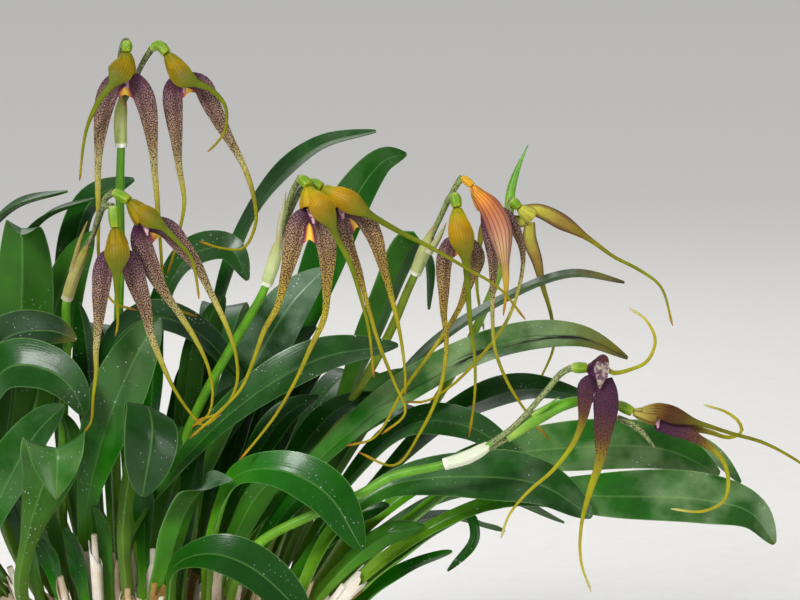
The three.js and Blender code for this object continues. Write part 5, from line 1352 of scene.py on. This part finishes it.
# Pine bark: rough layered chips, red-brown with grey weathered faces.
pine_bark, add = new_material("pine_bark", Roughness=0.9)
coords = add("TexCoord")
layers = add("TexNoise", {"Vector": coords, "Scale": 320, "Detail": 6})
add("ValToRGB", {"Fac": layers}, [(0.3, "#3d2618"), (0.48, "#6f4a2f"), (0.6, "#8f6a48"), (0.75, "#a8977c")],
    to="Base Color")
add("Bump", {"Height": layers, "Strength": 0.8, "Distance": 0.0012}, to="Normal")

# Long-fibred moss: soft curling strands, straw to pale green.
moss_fibre, add = new_material("long_fibred_moss", Roughness=0.85)
coords = add("TexCoord")
fibre = add("TexNoise", {"Vector": coords, "Scale": 90, "Detail": 4})
add("ValToRGB", {"Fac": fibre}, [(0.32, "#8a8a3a"), (0.5, "#b9ae6a"), (0.68, "#d3c79a")], to="Base Color")

bpy.ops.object.select_all(action="DESELECT")
bpy.ops.mesh.primitive_cube_add(size=1, location=(0, 0, 0))
chip = bpy.context.object
bpy.ops.object.mode_set(mode="EDIT")
bpy.ops.transform.resize(value=CHIP_SIZE)
bpy.ops.mesh.subdivide(number_cuts=1)
bpy.ops.object.mode_set(mode="OBJECT")
chip_points = np.array([v.co[:] for v in chip.data.vertices])
chip_faces = [tuple(p.vertices) for p in chip.data.polygons]
bpy.data.objects.remove(chip)

rng = random.Random(11)
# Blender takes the seed of its vector noise from the clock, which would change the chips each run.
noise.seed_set(11)
stem_feet = [foot for foot, _ in [*LEAFY_STEMS.values(), *BACK_TUFTS.values()]]
stem_feet += [stem["foot"] for stem in FLOWERING_STEMS.values()]


def clear_place(room):
    """A random place on the medium that keeps a distance from every stem foot."""
    while True:
        x, y = (rng.uniform(-MEDIUM_RADIUS, MEDIUM_RADIUS) for _ in range(2))
        if math.hypot(x, y) < MEDIUM_RADIUS - room / 2 and all(
                math.hypot(x - fx, y - fy) > room for fx, fy in stem_feet):
            return x, y


def soil_height(x, y):
    """The height of the uneven top of the medium at a place."""
    swells = math.sin(0.21 * x + 1.3) * math.cos(0.19 * y) + 0.6 * math.sin(0.47 * x - 0.39 * y)
    return SOIL_Z + 1.4 * swells


points, faces = [], []
for number in range(CHIP_COUNT):
    x, y = clear_place(CHIP_ROOM)
    turn, tilt, roll, size = (rng.uniform(0, 6.3), rng.uniform(-0.5, 0.5), rng.uniform(-0.5, 0.5),
                              rng.uniform(0.55, 1.15))
    seat = Vector((x, y, soil_height(x, y) + 0.9))
    seed = Vector((number * 3.1, 0, 0))
    base = len(points)
    for point in chip_points:
        spot = Vector(point) * size
        spot += 0.75 * noise.noise_vector(Vector(point) * 0.32 + seed)
        spot.rotate(Euler((roll, tilt, turn)))
        points.append(tuple((spot + seat) * MM))
    faces += [tuple(base + k for k in face) for face in chip_faces]
mesh = bpy.data.meshes.new("bark_chips")
mesh.from_pydata(points, [], faces)
chips = bpy.data.objects.new("bark_chips", mesh)
bpy.context.scene.collection.objects.link(chips)
mesh.materials.append(pine_bark)
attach(chips, "root")

strands = []
for number in range(STRAND_COUNT):
    x, y = clear_place(STRAND_ROOM)
    z = soil_height(x, y)
    turn = rng.uniform(0, 6.3)
    path = []
    for step in range(5):
        turn += rng.uniform(-0.9, 0.9)
        path.append((x, y, max(z + rng.uniform(0.2, 2.8) * (step > 0), soil_height(x, y) - 0.2)))
        reach = rng.uniform(1.6, 3.4)
        nx, ny = x + reach * math.cos(turn), y + reach * math.sin(turn)
        if math.hypot(nx, ny) < MEDIUM_RADIUS and all(
                math.hypot(nx - fx, ny - fy) > 3.8 for fx, fy in stem_feet):
            x, y = nx, ny
        else:
            turn += 2.2
            x, y = x - 0.8 * math.cos(turn), y - 0.8 * math.sin(turn)
    strands.append(tube_shell(path, STRAND_RADII, 4, 0))
moss = make_piece("moss_strands", strands, [moss_fibre])

# The old stems
# Between the living stems stand old ones that have dropped their leaf. Each is a dry stalk in a torn
# papery sheath, white to tan, and grows from the same medium.
OLD_STEM_COUNT = 34
OLD_STALK_RADII = (1.9, 1.9, 1.7, 1.5, 1.2)
OLD_SHEATH_LEAN, OLD_SHEATH_GIRTH = 5, 0.74
# Foot, top and age of the old stems that show in front: white is 0 and tan is 1.
FRONT_OLD_STEMS = (
    ((-30, -30), (-32, -34, 140), 0), ((-40, -33), (-45, -38, 124), 0.2), ((-55, -22), (-66, -30, 126), 0.1),
    ((-10, -30), (-9, -34, 134), 0.1), ((-12, -44), (-7, -50, 124), 1), ((44, -34), (66, -44, 122), 0),
    ((24, -38), (34, -46, 122), 0.6), ((-24, -22), (-26, -24, 130), 0.5),
)
old_stems = list(FRONT_OLD_STEMS)
for _ in range(OLD_STEM_COUNT):
    x, y = clear_place(OLD_STEM_ROOM)
    height = rng.uniform(20, 46)
    lean = rng.uniform(0.05, 0.3) * height
    out = math.hypot(x, y) + 1
    top = (x + lean * x / out, y + lean * y / out, SOIL_Z + height)
    old_stems.append(((x, y), top, rng.uniform(0, 1) ** 1.5))
shells = []
for number, ((x, y), top, age) in enumerate(old_stems, 400):
    middle = (0.6 * x + 0.4 * top[0], 0.6 * y + 0.4 * top[1], SOIL_Z + 0.45 * (top[2] - SOIL_Z))
    path = ((x, y, SOIL_Z - 3), middle, top)
    height = top[2] - SOIL_Z
    stalk = tube_shell(path, OLD_STALK_RADII, 8, 1, shade=age)
    shells += [stalk, sheath_shell(path, (0, -1, 0), 0.9 * height, OLD_SHEATH_LEAN, number, age,
                                   OLD_SHEATH_GIRTH)]
piece = make_piece("old_stems", shells, [leaf_cuticle, dry_sheath])
